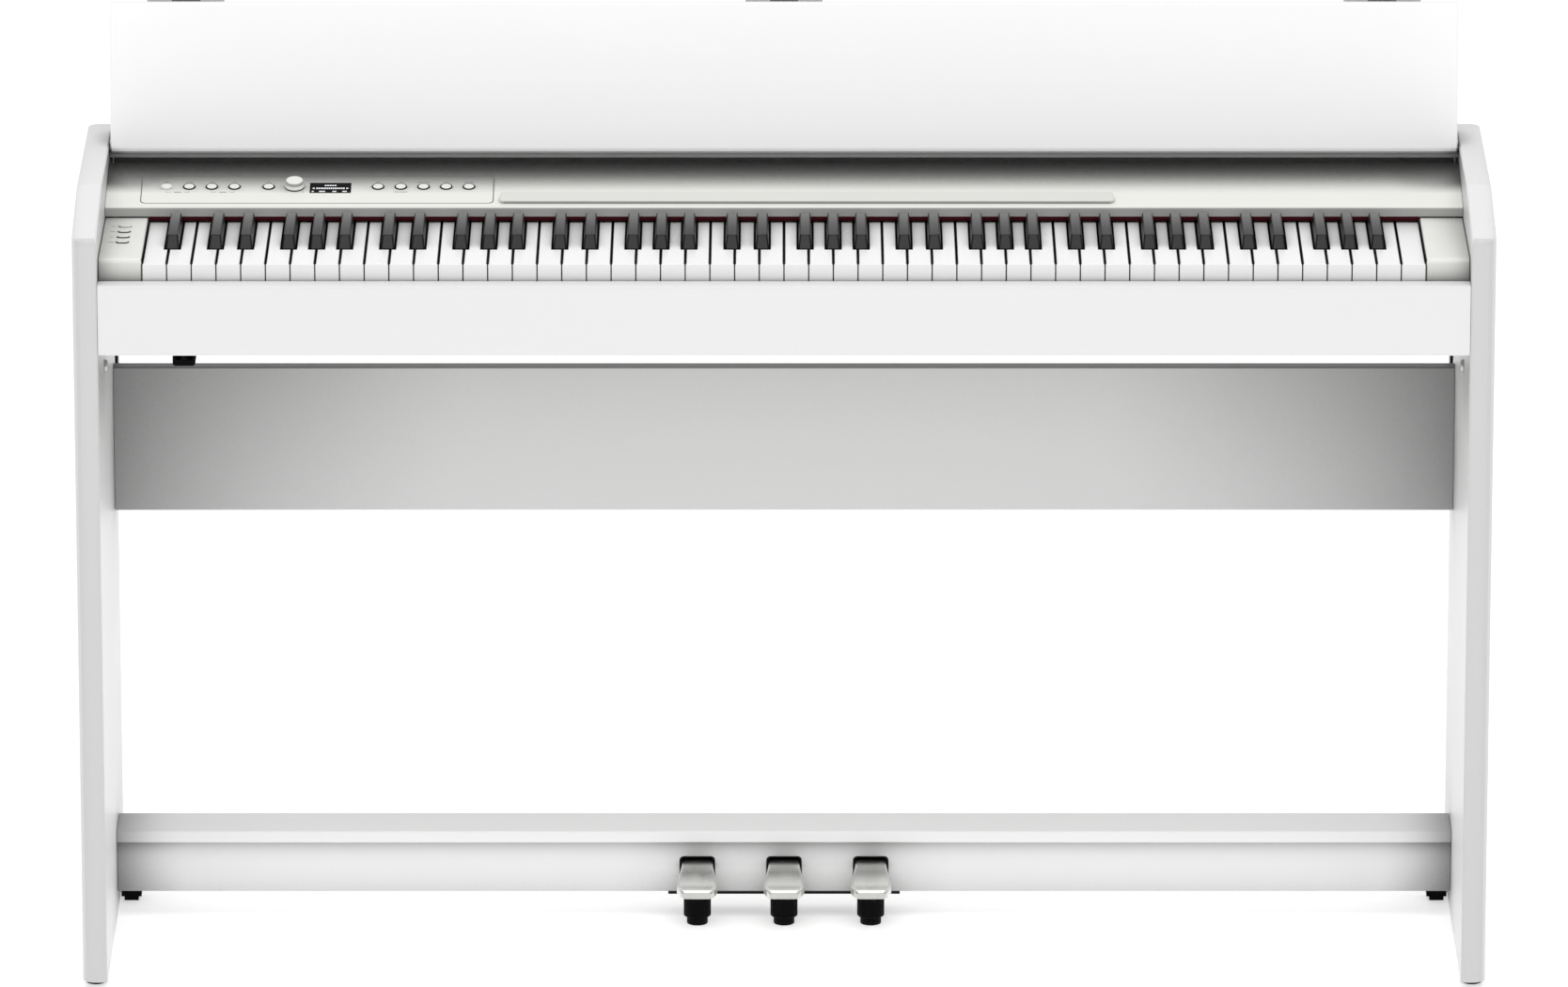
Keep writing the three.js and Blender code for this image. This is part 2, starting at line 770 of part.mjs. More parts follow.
function addKeys() {
  const keys = layOutKeys();
  const middleC = middleCKey - 1;
  const middleB = middleC + notesPerOctave - 1;
  addKeyComb('white_keys_bass', keys, [0, middleC - 1], false);
  addKeyComb('black_keys_bass', keys, [0, middleC - 1], true);
  addKeyComb('white_keys_treble', keys, [middleB + 1, keyCount - 1], false);
  addKeyComb('black_keys_treble', keys, [middleB + 1, keyCount - 1], true);
  for (let index = middleC; index <= middleB; index += 1) {
    const key = keys[index];
    const solid = key.black ? blackKeySolid(key) : whiteKeySolid(keys, index);
    const turning = cut(solid, [pivotGroove(...keySpan(key))]);
    addPiece(`key_${noteNames[key.note]}`, turning, key.black ? 'blackKey' : 'whiteKey');
  }
  addKeyChassis([keys[middleC].left, keys[middleB].right]);
}

// Moulded frame under the keys: front and rear rails tied by ribs, with the pivot rod of the
// keys that turn on it.
function addKeyChassis([rodLeft, rodRight]) {
  const halfLength = keyboardHalf - seatGap;
  const floor = keyBedTop + seatGap;
  const frontRailY = keyFrontY + chassisFrontRailFront;
  const rearRailY = keyFrontY + chassisRearRailFront;
  const rearRailTop = keyBottomZ - chassisRearTopDrop;
  const railX = [-halfLength, halfLength];
  const frontRail = [frontRailY, frontRailY + chassisFrontRailDepth];
  const rodX = [rodLeft, rodRight];
  const webY = [pivotY - pivotWebThickness / 2, pivotY + pivotWebThickness / 2];
  const solids = [
    box(railX, frontRail, [floor, floor + chassisFrontRailHeight]),
    box(railX, [rearRailY, rearRailY + chassisRearRailDepth], [floor, rearRailTop]),
    prism(circleOutline(pivotY, pivotZ, pivotRodRadius, rodSides), rodX, alongX),
    box(rodX, webY, [rearRailTop, pivotZ]),
  ];
  for (const x of chassisRibPlaces(halfLength)) {
    solids.push(box(
      [x - chassisRibThickness / 2, x + chassisRibThickness / 2],
      [frontRailY + chassisRibThickness, rearRailY + chassisRibThickness],
      [floor, floor + chassisRibHeight],
    ));
  }
  addPiece('key_chassis', joined(solids), 'blackPlastic');
}

// Ribs close to both sides of each speaker, evenly between the speakers, and at both ends.
function chassisRibPlaces(halfLength) {
  const besideSpeaker = speakerRadius + chassisRibThickness;
  const innermost = speakerX - besideSpeaker;
  const places = [0];
  for (let bay = 1; bay <= chassisBaysBetweenSpeakers; bay += 1) {
    places.push(innermost * bay / chassisBaysBetweenSpeakers);
  }
  places.push(speakerX + besideSpeaker, halfLength - chassisRibThickness);
  return places.flatMap((place) => (place === 0 ? [0] : [-place, place]));
}

// Outline of a cheek button: straight along the middle, a half circle at each end.
function cheekOval(x, y, growth) {
  const radius = cheekButtonWidth / 2 + growth;
  const straightHalf = (cheekButtonLength - cheekButtonWidth) / 2;
  const points = [];
  for (const end of [1, -1]) {
    for (let step = 0; step <= cheekArcSteps; step += 1) {
      const angle = Math.PI * step / cheekArcSteps - quarterTurn;
      points.push(new THREE.Vector2(
        x + end * (straightHalf + radius * Math.cos(angle)),
        y + end * radius * Math.sin(angle),
      ));
    }
  }
  return points;
}

function addCheekBlocks() {
  const top = keyTopZ + cheekRise;
  const back = panelFrontY - feltSetForward - seatGap;
  const inner = keyboardHalf + cheekKeyGap - whiteKeyGap / 2;
  const outline = filletedOutline([
    [keyFrontY, keyBedTop + seatGap],
    [back, keyBedTop + seatGap],
    [back, top],
    [keyFrontY, top, cheekRound],
  ]);
  const buttonX = -(inner + fitX) / 2;
  const buttonCentres = [];
  for (let index = 0; index < cheekButtonCount; index += 1) {
    buttonCentres.push(keyFrontY + cheekButtonFirst + index * cheekButtonPitch);
  }
  const wells = buttonCentres.map((y) => prism(
    cheekOval(buttonX, y, buttonHoleGap),
    [top - buttonDepth - buttonRise, top + cutOverrun],
    alongZ,
  ));
  const left = softPrism(outline, [-fitX, -inner], boardEdge, alongX);
  addPiece('cheek_block_left', cut(left, wells), 'panel');
  addPiece('cheek_block_right', softPrism(outline, [inner, fitX], boardEdge, alongX), 'panel');
  buttonCentres.forEach((y, index) => {
    const span = [top - buttonDepth, top + buttonRise];
    const button = capPrism(cheekOval(buttonX, y, 0), span, buttonCrown, alongZ);
    addPiece(`cheek_button_${index + 1}`, button, 'panel');
  });
}

// Group that lies on the control panel's slope: x across, y up the slope, z out of the surface.
const slopeGroup = new THREE.Group();
slopeGroup.position.set(0, panelFrontY, panelFrontZ);
slopeGroup.rotation.x = panelSlope;
piano.add(slopeGroup);
slopeGroup.updateMatrix();

// The same solid, moved from the slope's own frame into the piano's frame.
function slopePrism(outline, span) {
  const matrix = slopeGroup.matrix;
  const directions = [axisX, axisY, axisZ].map((axis) => axis.clone().transformDirection(matrix));
  const sections = span.map((at) => ({ at, outline }));
  const geometry = toGeometry(loft(sections, directions));
  geometry.translate(slopeGroup.position.x, slopeGroup.position.y, slopeGroup.position.z);
  return toSolid(geometry);
}

function controlButtonPlaces() {
  const places = [['button_power', powerButtonX]];
  for (let index = 1; index <= leftButtonCount; index += 1) {
    places.push([`button_left_${index}`, powerButtonX + index * leftButtonPitch]);
  }
  places.push(['button_single', singleButtonX]);
  for (let index = 0; index < rightButtonCount; index += 1) {
    places.push([`button_right_${index + 1}`, rightButtonX + index * rightButtonPitch]);
  }
  return places;
}

function plateOutline(growth) {
  return filletedOutline([
    [plateLeft - growth, plateLower - growth, plateLowerRound],
    [plateRight + growth, plateLower - growth, plateLowerRound],
    [plateRight + growth, plateUpper + growth, plateUpperRound],
    [plateLeft - growth, plateUpper + growth, plateUpperRound],
  ]);
}

function displayOutline(growth) {
  return rectangle(
    [displayLeft - growth, displayLeft + displayWidth + growth],
    [displayLower - growth, displayLower + displayHeight + growth],
  );
}

// Moulded panel: an upright face over the keys, a slope up to the lid, a flange at the back.
function controlPanelShell() {
  const slopeWall = panelWall / Math.cos(panelSlope);
  const outline = filletedOutline([
    [panelFrontY, panelBottomZ],
    [panelFrontY + panelWall, panelBottomZ],
    [panelFrontY + panelWall, panelFrontZ + panelWall * Math.tan(panelSlope) - slopeWall],
    [panelRearY - panelWall, panelRearZ - panelWall * Math.tan(panelSlope) - slopeWall],
    [panelRearY - panelWall, panelRearZ - panelRearFlange],
    [panelRearY, panelRearZ - panelRearFlange],
    [panelRearY, panelRearZ],
    [panelFrontY, panelFrontZ, panelFaceRound],
  ]);
  return prism(outline, [-fitX, fitX], alongX);
}

// The plate lies in a recess, over an opening that leaves it a rim to rest on.
function addControlPanel() {
  const recess = slopePrism(plateOutline(plateGap), [-plateThickness - seatGap, cutOverrun]);
  const opening = slopePrism(rectangle(
    [plateLeft + plateRim, plateRight - plateRim],
    [controlRow - plateOpeningHalf, controlRow + plateOpeningHalf],
  ), [-panelWall - cutOverrun, cutOverrun]);
  addPiece('control_panel', cut(controlPanelShell(), [recess, opening]), 'panel');
}

function addControlPlate() {
  const span = [-plateThickness, 0];
  const through = [-plateThickness - cutOverrun, cutOverrun];
  const buttonHoles = controlButtonPlaces().map(([, x]) => prism(
    circleOutline(x, controlRow, buttonRadius + buttonHoleGap, buttonSides),
    through,
    alongZ,
  ));
  const shaftHole = prism(
    circleOutline(dialX, dialRow, dialShaftRadius + seatGap, rodSides),
    through,
    alongZ,
  );
  const window = prism(displayOutline(seatGap), through, alongZ);
  const plate = cut(prism(plateOutline(0), span, alongZ), [window, shaftHole, ...buttonHoles]);
  addPiece('control_plate', plate, 'panel', slopeGroup);
  addPiece('display_window', prism(displayOutline(0), span, alongZ), 'glass', slopeGroup);
}

function addControls() {
  for (const [name, x] of controlButtonPlaces()) {
    const outline = circleOutline(0, 0, buttonRadius, buttonSides);
    const button = capPrism(outline, [-buttonDepth, buttonRise], buttonCrown, alongZ);
    addPiece(name, button, 'panel', slopeGroup).position.set(x, controlRow, 0);
  }
  const waist = dialBaseHeight + seatGap;
  const capTop = dialHeight - buttonCrown;
  const levels = [
    [seatGap, dialRadius],
    [dialBaseHeight, dialRadius],
    [waist, dialCapRadius],
    [capTop, dialCapRadius],
    [dialHeight, dialCapRadius - buttonCrown],
  ];
  const cap = loft(levels.map(([at, radius]) => (
    { at, outline: circleOutline(0, 0, radius, dialSides) }
  )), alongZ);
  const shaftOutline = circleOutline(0, 0, dialShaftRadius, rodSides);
  const shaft = prism(shaftOutline, [-buttonDepth, waist], alongZ);
  addPiece('dial', cap.add(shaft), 'panel', slopeGroup).position.set(dialX, dialRow, 0);
}

// Raised ledge on the panel that keeps sheet music from sliding down.
function addMusicLedge() {
  const outline = filletedOutline([
    [ledgeLeft, ledgeLower, ledgeLowerRound],
    [ledgeRight, ledgeLower, ledgeLowerRound],
    [ledgeRight - ledgeEndSlant, ledgeUpper],
    [ledgeLeft + ledgeEndSlant, ledgeUpper],
  ]);
  const ledge = capPrism(outline, [seatGap, seatGap + ledgeHeight], ledgeEdge, alongZ);
  addPiece('music_ledge', ledge, 'panel', slopeGroup);
}

function addFeltStrip() {
  const front = panelFrontY - feltSetForward;
  const bottom = keyTopZ + feltKeyGap;
  const feltZ = [bottom, bottom + feltHeight];
  const strip = box([-keyboardHalf, keyboardHalf], [front, front + feltDepth], feltZ);
  addPiece('felt_strip', strip, 'felt');
}

// Lid. Both leaves are drawn closed, measured from their own hinge axis, and then turned open.
const foldFromLidAxisY = slopeBreakY - lidAxisY;
const foldFromLidAxisZ = lidAxisBelowTop + foldAxisAboveTop;
const slopeAngle = Math.atan2(slopeDrop, slopeRun);

function lidPanelOutline() {
  const front = foldFromLidAxisY + foldEndGap;
  const underside = lidAxisBelowTop - lidThickness;
  return filletedOutline([
    [front, underside, lidEdgeRound],
    [lidTail, underside, lidTailRound],
    [lidTail, lidAxisBelowTop, lidEdgeRound],
    [front, lidAxisBelowTop, lidEdgeRound],
  ]);
}

// Flap closed, measured from the fold axis: follows the side panels' slope and nose, and its
// lip hangs down in front of the keys.
function lidFlapOutline() {
  const top = -foldAxisAboveTop;
  const front = frontY - slopeBreakY;
  const lipBack = front + lipThickness;
  const innerDrop = lidThickness / Math.cos(slopeAngle);
  const slopeAt = (y) => top + y * Math.tan(slopeAngle);
  return filletedOutline([
    [front, top - slopeDrop - lipHeight, lidEdgeRound],
    [lipBack, top - slopeDrop - lipHeight, lidEdgeRound],
    [lipBack, slopeAt(lipBack) - innerDrop, lidEdgeRound],
    [-foldEndGap, slopeAt(-foldEndGap) - innerDrop, lidEdgeRound],
    [-foldEndGap, slopeAt(-foldEndGap), lidEdgeRound],
    [front, slopeAt(front), noseRadius],
  ]);
}

function foldHingePlaces() {
  return [-foldHingeSpacing, 0, foldHingeSpacing];
}

function knuckle(x0, x1, radius) {
  return prism(circleOutline(0, 0, radius, foldBarrelSides), [x0, x1], alongX);
}

// Panel half of a fold hinge: two end knuckles, the pin between them and a leaf.
function panelHingeHalf(x) {
  const half = foldHingeLength / 2;
  const gapHalf = flapKnuckleLength / 2 + seatGap;
  const leafZ = [-foldAxisAboveTop - lidEdgeRound, -foldAxisAboveTop + foldLeafThickness];
  const leafReach = foldEndGap + foldLeafWidth;
  return joined([
    knuckle(x - half, x - gapHalf, foldBarrelRadius),
    knuckle(x + gapHalf, x + half, foldBarrelRadius),
    knuckle(x - half, x + half, foldPinRadius),
    box([x - half, x - gapHalf], [0, leafReach], leafZ),
    box([x + gapHalf, x + half], [0, leafReach], leafZ),
    box([x - half, x + half], [foldEndGap + seatGap, leafReach], leafZ),
  ]);
}

// Flap half: the middle knuckle, bored for the pin, on a leaf that lies on the flap's slope.
function flapHingeHalf(x) {
  const half = flapKnuckleLength / 2;
  const leafTop = -foldAxisAboveTop + foldLeafThickness;
  const leafReach = foldEndGap + foldLeafWidth;
  const leaf = box([x - half, x + half], [-leafReach, 0], [leafTop - lidEdgeRound, leafTop]);
  const bore = knuckle(x - half - cutOverrun, x + half + cutOverrun, foldPinRadius + seatGap);
  const solid = knuckle(x - half, x + half, foldBarrelRadius).add(leaf).subtract(bore);
  const geometry = toGeometry(solid);
  geometry.rotateX(slopeAngle);
  return toSolid(geometry);
}

function addLid() {
  const lidGroup = new THREE.Group();
  lidGroup.position.set(0, lidAxisY, lidAxisZ);
  lidGroup.rotation.x = -(quarterTurn + THREE.MathUtils.degToRad(lidLean));
  piano.add(lidGroup);
  const panel = softPrism(lidPanelOutline(), [-lidHalfWidth, lidHalfWidth], lidEndEdge, alongX);
  const pinReach = lidHalfWidth + lidSideGap + lidPinLength;
  const pinOutline = circleOutline(0, 0, lidPinRadius, rodSides);
  const pins = [[-pinReach, -lidHalfWidth + lidPinLength], [lidHalfWidth - lidPinLength, pinReach]]
    .map((span) => prism(pinOutline, span, alongX));
  const halves = foldHingePlaces().map((x) => {
    const geometry = toGeometry(panelHingeHalf(x));
    geometry.translate(0, foldFromLidAxisY, foldFromLidAxisZ);
    return toSolid(geometry);
  });
  addPiece('lid_panel', joined([panel, ...pins, ...halves]), 'cabinet', lidGroup);
  addLidFlap(lidGroup);
}

// The folded flap lies parallel to the open panel, behind it.
function addLidFlap(lidGroup) {
  const flapGroup = new THREE.Group();
  flapGroup.position.set(0, foldFromLidAxisY, foldFromLidAxisZ);
  flapGroup.rotation.x = -(Math.PI + slopeAngle);
  lidGroup.add(flapGroup);
  const leaf = softPrism(lidFlapOutline(), [-lidHalfWidth, lidHalfWidth], lidEndEdge, alongX);
  const halves = foldHingePlaces().map((x) => flapHingeHalf(x));
  addPiece('lid_flap', joined([leaf, ...halves]), 'cabinet', flapGroup);
}

// Front view of a pedal slot, or of a piece that follows it at a distance.
function slotOutline(x, growth, bottom) {
  const half = slotWidth / 2 + growth;
  return filletedOutline([
    [x - half, bottom],
    [x + half, bottom],
    [x + half, slotTop + growth, slotRound],
    [x - half, slotTop + growth, slotRound],
  ]);
}

// Pedal board: a top board over an upright face with a slot for each pedal.
function addPedalBoard() {
  const boardRear = pedalBoardFront + pedalBoardDepth;
  const topBottom = pedalBoardTop - pedalBoardThickness;
  const top = crossBoard([pedalBoardFront, boardRear], [topBottom, pedalBoardTop], boardEdge);
  const faceZ = [pedalFaceBottom, topBottom + weldOverlap];
  const face = box([-fitX, fitX], [pedalFaceY, pedalFaceRear], faceZ);
  const throughFace = [-pedalFaceRear - cutOverrun, -pedalFaceY + cutOverrun];
  const slots = pedalPlaces().map(([, x]) => (
    prism(slotOutline(x, 0, pedalFaceBottom - cutOverrun), throughFace, towardsPlayer)
  ));
  addPiece('pedal_board', cut(top.add(face), slots), 'cabinet');
}

function pedalPlaces() {
  return [['pedal_left', -pedalPitch], ['pedal_middle', 0], ['pedal_right', pedalPitch]];
}

// Cross-section of a pedal in (x, z), rounded at its four edges.
function pedalSection(width, top, thickness) {
  const round = Math.min(pedalEdge, thickness / 3);
  return filletedOutline([
    [-width / 2, top - thickness, round],
    [width / 2, top - thickness, round],
    [width / 2, top, round],
    [-width / 2, top, round],
  ], pedalCornerSteps);
}

// Pedal lofted from its pivot to its tip: the neck dips to a wide, blunt foot.
// Each station gives shares of the reach, of the neck-to-tip widening, of the drop and of the
// thickness.
const pedalStationShares = [
  [0, 0, 0, 1],
  [0.2, 0, 0.02, 1],
  [0.38, 0.03, 0.06, 1],
  [0.5, 0.16, 0.15, 1],
  [0.62, 0.44, 0.34, 1],
  [0.76, 0.76, 0.64, 1],
  [0.89, 1, 0.9, 1],
  [0.93, 0.86, 0.96, 1],
  [0.97, 0.42, 1, 1],
  [0.985, 0.16, 1.12, 0.88],
  [1, -0.2, 1.34, 0.66],
];

function pedalSolid() {
  const drop = pedalTopAtPivot - pedalTipTop;
  const widening = pedalTipWidth - pedalNeckWidth;
  const sections = [{
    at: -pedalPivotY - pedalTail,
    outline: pedalSection(pedalTailWidth, pedalTopAtPivot, pedalThickness),
  }];
  for (const [reachShare, widthShare, dropShare, thicknessShare] of pedalStationShares) {
    const neck = reachShare === 0 ? pedalTailWidth : pedalNeckWidth;
    sections.push({
      at: -pedalPivotY + reachShare * pedalReach,
      outline: pedalSection(
        neck + widthShare * widening,
        pedalTopAtPivot - dropShare * drop,
        pedalThickness * thicknessShare,
      ),
    });
  }
  const pinHalf = pedalTailWidth / 2 + lugSideGap + lugThickness;
  const pinOutline = circleOutline(pedalPivotY, pedalPivotHeight, pedalPinRadius, rodSides);
  return loft(sections, towardsPlayer).add(prism(pinOutline, [-pinHalf, pinHalf], alongX));
}

// Inverted channel that lines a pedal slot from the plate up.
function slotLiner(x) {
  const span = [-pedalFaceRear, -pedalFaceY];
  const opening = [-pedalFaceRear - cutOverrun, -pedalFaceY + cutOverrun];
  const outer = prism(slotOutline(x, -seatGap, pedalPlateBottom), span, towardsPlayer);
  const inner = slotOutline(x, -seatGap - slotLinerThickness, pedalPlateTop);
  return cut(outer, [prism(inner, opening, towardsPlayer)]);
}

// Box behind the slots, open to the front, that closes in the pedal pivots.
function pedalHousing() {
  const front = pedalFaceRear + seatGap;
  const rear = pedalFaceY + pedalPlateDepth;
  const innerHalf = pedalPlateHalfWidth - housingWall;
  const outer = box(
    [-pedalPlateHalfWidth, pedalPlateHalfWidth],
    [front, rear],
    [pedalPlateBottom, housingTop],
  );
  const inner = box(
    [-innerHalf, innerHalf],
    [front - cutOverrun, rear - housingWall],
    [pedalPlateTop, housingTop - housingWall],
  );
  return cut(outer, [inner]);
}

// Two lugs that carry the pin of the pedal at x.
function pedalLugs(x) {
  const lugInner = pedalTailWidth / 2 + lugSideGap;
  const lugY = [pedalPivotY - lugHalfDepth, pedalPivotY + lugHalfDepth];
  const lugZ = [pedalPlateBottom, pedalPivotHeight + lugTopAbovePin];
  return [-1, 1].map((side) => {
    const faces = [x + side * lugInner, x + side * (lugInner + lugThickness)];
    return box(faces.sort((a, b) => a - b), lugY, lugZ);
  });
}

// Screw-down foot ahead of the board's face, under the pedal at x.
function pedalAdjuster(x) {
  const y = pedalFaceY - adjusterForward;
  const sleeve = circleOutline(x, y, adjusterRadius, adjusterSides);
  const pad = circleOutline(x, y, adjusterPadRadius, adjusterSides);
  return [
    prism(sleeve, [adjusterPadHeight, pedalPlateTop], alongZ),
    capPrism(pad, [0, adjusterPadHeight + weldOverlap], boardEdge, alongZ),
  ];
}

// Steel base under the board: plate, housing, slot liners, bored lugs and three adjusters.
function addPedalBase() {
  const plate = box(
    [-pedalPlateHalfWidth, pedalPlateHalfWidth],
    [pedalFaceY - seatGap, pedalFaceY + pedalPlateDepth],
    [pedalPlateBottom, pedalPlateTop],
  );
  const solids = [plate, pedalHousing()];
  const boreHalf = pedalTailWidth / 2 + lugSideGap + lugThickness + cutOverrun;
  const boreRadius = pedalPinRadius + seatGap;
  const boreOutline = circleOutline(pedalPivotY, pedalPivotHeight, boreRadius, rodSides);
  const bores = [];
  for (const [, x] of pedalPlaces()) {
    solids.push(slotLiner(x), ...pedalLugs(x), ...pedalAdjuster(x));
    bores.push(prism(boreOutline, [x - boreHalf, x + boreHalf], alongX));
  }
  addPiece('pedal_base', cut(joined(solids), bores), 'steel');
}

function addPedals() {
  for (const [name, x] of pedalPlaces()) {
    addPiece(name, pedalSolid(), 'pedal').position.x = x;
  }
}

function addFeet() {
  const frontX = innerX + sideThickness / 2;
  const padTop = frontFootPadHeight;
  const stem = circleOutline(0, 0, frontFootRadius, adjusterSides);
  const neck = circleOutline(0, 0, frontFootStemRadius, adjusterSides);
  for (const [name, side] of [['front_foot_left', -1], ['front_foot_right', 1]]) {
    const foot = prism(stem, [0, padTop], alongZ).add(
      prism(neck, [padTop - weldOverlap, sideFloorGap - seatGap], alongZ),
    );
    addPiece(name, foot, 'blackPlastic').position.set(side * frontX, frontY + frontFootFromFront, 0);
  }
  for (const [name, side] of [['rear_foot_left', -1], ['rear_foot_right', 1]]) {
    const centre = side * (fitX - rearFootWidth / 2);
    const half = rearFootWidth / 2;
    const padHalf = half - rearFootPadInset;
    const footY = [rearFootFront, rearFootFront + rearFootDepth];
    const padY = [rearFootFront, rearFootFront + rearFootDepth - rearFootPadInset];
    const block = box([centre - half, centre + half], footY, [rearFootPadHeight, rearFootHeight]);
    const pad = box([centre - padHalf, centre + padHalf], padY, [0, rearFootPadHeight + weldOverlap]);
    addPiece(name, block.add(pad), 'blackPlastic');
  }
}

// Box under the key bed with two headphone sockets in its front.
function addHeadphoneBox() {
  const half = jackBoxWidth / 2;
  const top = keyBedBottom - seatGap;
  const front = keyFrontY + jackBoxFromKeyFront;
  const outline = filletedOutline([
    [jackBoxX - half, top - jackBoxHeight, jackBoxRound],
    [jackBoxX + half, top - jackBoxHeight, jackBoxRound],
    [jackBoxX + half, top],
    [jackBoxX - half, top],
  ]);
  const body = prism(outline, [-(front + jackBoxDepth), -front], towardsPlayer);
  const sockets = [-1, 1].map((side) => prism(
    circleOutline(jackBoxX + side * half / 2, top - jackRise, jackRadius, rodSides),
    [-(front + jackDepth), -(front - cutOverrun)],
    towardsPlayer,
  ));
  addPiece('headphone_box', cut(body, sockets), 'blackPlastic');
}

addSidePanels();
addTopBoard();
addCabinetBoards();
addSpeakers();
addKeys();
addCheekBlocks();
addControlPanel();
addControlPlate();
addControls();
addMusicLedge();
addFeltStrip();
addLid();
addPedalBoard();
addPedalBase();
addPedals();
addFeet();
addHeadphoneBox();

export default piano;
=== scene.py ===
# %% [markdown]
# # Dressing a white digital piano
# The solids of this piano already exist: boards, keys, pedals, dial and lid, each in its true place.
# This lesson gives them a camera, a studio, finishes and the small hardware that a maker adds last.
# x runs to the player's right, y towards the wall, z up from the floor.

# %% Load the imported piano
import json
import math
import random

import bmesh
import bpy
from mathutils import Matrix, Vector


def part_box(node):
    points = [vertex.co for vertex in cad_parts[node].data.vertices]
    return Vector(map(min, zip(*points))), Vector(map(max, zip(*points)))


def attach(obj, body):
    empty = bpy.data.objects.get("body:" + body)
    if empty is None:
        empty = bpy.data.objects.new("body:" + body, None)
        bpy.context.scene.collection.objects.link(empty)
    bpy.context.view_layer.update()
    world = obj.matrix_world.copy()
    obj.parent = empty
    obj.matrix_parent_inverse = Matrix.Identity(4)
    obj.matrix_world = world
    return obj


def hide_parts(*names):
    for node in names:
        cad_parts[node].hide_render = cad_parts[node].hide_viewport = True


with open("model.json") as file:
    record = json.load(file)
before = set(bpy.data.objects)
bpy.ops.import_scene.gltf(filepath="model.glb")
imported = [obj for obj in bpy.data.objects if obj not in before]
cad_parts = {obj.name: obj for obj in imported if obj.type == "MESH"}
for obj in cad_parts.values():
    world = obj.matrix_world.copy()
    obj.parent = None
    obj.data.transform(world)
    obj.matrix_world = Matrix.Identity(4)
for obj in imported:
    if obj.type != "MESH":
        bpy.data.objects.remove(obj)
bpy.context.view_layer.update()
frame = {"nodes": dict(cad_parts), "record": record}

nodes = frame["nodes"]

# %% [markdown]
# ## The camera
# The piano is seen from the player's side, from far away and a little above, so its uprights look
# almost parallel. A wide lens close by would spread them; a long lens from twelve metres does not.

# %% The camera
camera_place = Vector((0.0, -12.334, 4.141))
camera_fall = math.radians(16.65)
camera_data = bpy.data.cameras.new("camera")
camera_data.sensor_width = 36.0
camera_data.lens = 304.04
camera_data.clip_end = 200.0
camera = bpy.data.objects.new("camera", camera_data)
camera.location = camera_place
camera.rotation_euler = (math.pi / 2 - camera_fall, 0.0, 0.0)
bpy.context.scene.collection.objects.link(camera)
bpy.context.scene.camera = camera
print("camera at", tuple(round(value, 3) for value in camera_place))

# %% [markdown]
# ## A helper for meshes
# Every piece below ends the same way: its points and faces become an object with a finish. Faces
# are shaded smoothly, but an edge sharper than 40 degrees stays an edge, as on turned metal.

# %% Make a mesh object
SHARP_EDGE = math.radians(40)


def mesh_object(name, points, faces, finish):
    """A new mesh object from lists of points and faces, with outward normals."""
    mesh = bpy.data.meshes.new(name)
    mesh.from_pydata([tuple(point) for point in points], [], faces)
    shell = bmesh.new()
    shell.from_mesh(mesh)
    bmesh.ops.recalc_face_normals(shell, faces=shell.faces)
    shell.to_mesh(mesh)
    shell.free()
    for polygon in mesh.polygons:
        polygon.use_smooth = True
    mesh.set_sharp_from_angle(angle=SHARP_EDGE)
    made = bpy.data.objects.new(name, mesh)
    made.data.materials.append(finish)
    bpy.context.scene.collection.objects.link(made)
    return made


print("edges stay sharp from", round(math.degrees(SHARP_EDGE)), "degrees")

# %% [markdown]
# ## A helper for finishes
# A finish is a material whose nodes lead to one Principled shader. Naming the shortest calls once
# keeps every later cell readable: `node` adds a node, `wire` joins two sockets, and `feed` takes
# either a socket or a plain value.

# %% Make a finish
def node(tree, kind, **settings):
    """A node of that kind, with its properties set; numbers in `inputs` go to its sockets."""
    made = tree.nodes.new(kind)
    for socket, value in settings.pop("inputs", {}).items():
        made.inputs[socket].default_value = value
    for name, value in settings.items():
        setattr(made, name, value)
    return made


def wire(tree, start, end):
    tree.links.new(start, end)


def feed(tree, value, end):
    """Wires a socket to the end, or sets a plain value on it."""
    if isinstance(value, bpy.types.NodeSocket):
        wire(tree, value, end)
    else:
        end.default_value = value


def new_finish(name, **sockets):
    """A material with one Principled shader, its even values set on the shader's own sockets."""
    material = bpy.data.materials.new(name)
    material.use_nodes = True
    shader = material.node_tree.nodes["Principled BSDF"]
    for socket, value in sockets.items():
        shader.inputs[socket.replace("_", " ")].default_value = value
    return material, material.node_tree, shader


def new_group(name, inputs, outputs):
    """An empty shader node group with named sockets, and its two end nodes."""
    tree = bpy.data.node_groups.new(name, "ShaderNodeTree")
    for label, kind, value in inputs:
        socket = tree.interface.new_socket(label, in_out="INPUT", socket_type=kind)
        socket.default_value = value
    for label, kind in outputs:
        tree.interface.new_socket(label, in_out="OUTPUT", socket_type=kind)
    return tree, node(tree, "NodeGroupInput"), node(tree, "NodeGroupOutput")


def use_group(tree, group, **inputs):
    """Places a node group in a material, with its own values."""
    made = node(tree, "ShaderNodeGroup")
    made.node_tree = group
    for label, value in inputs.items():
        made.inputs[label.replace("_", " ")].default_value = value
    return made


# %% [markdown]
# ## The steps of a mask
# A mask is worked out from places and normals in small steps: take one axis of a vector, see how
# far a value lies between two limits, multiply, or keep the larger of two. Each step is one call
# here, which adds its node and gives that node's output.

# %% Steps of a mask
def math_of(tree, operation, *values, **settings):
    """What a Math node makes of its values, each a socket or a plain number."""
    made = node(tree, "ShaderNodeMath", operation=operation, **settings)
    for value, socket in zip(values, made.inputs):
        feed(tree, value, socket)
    return made.outputs[0]


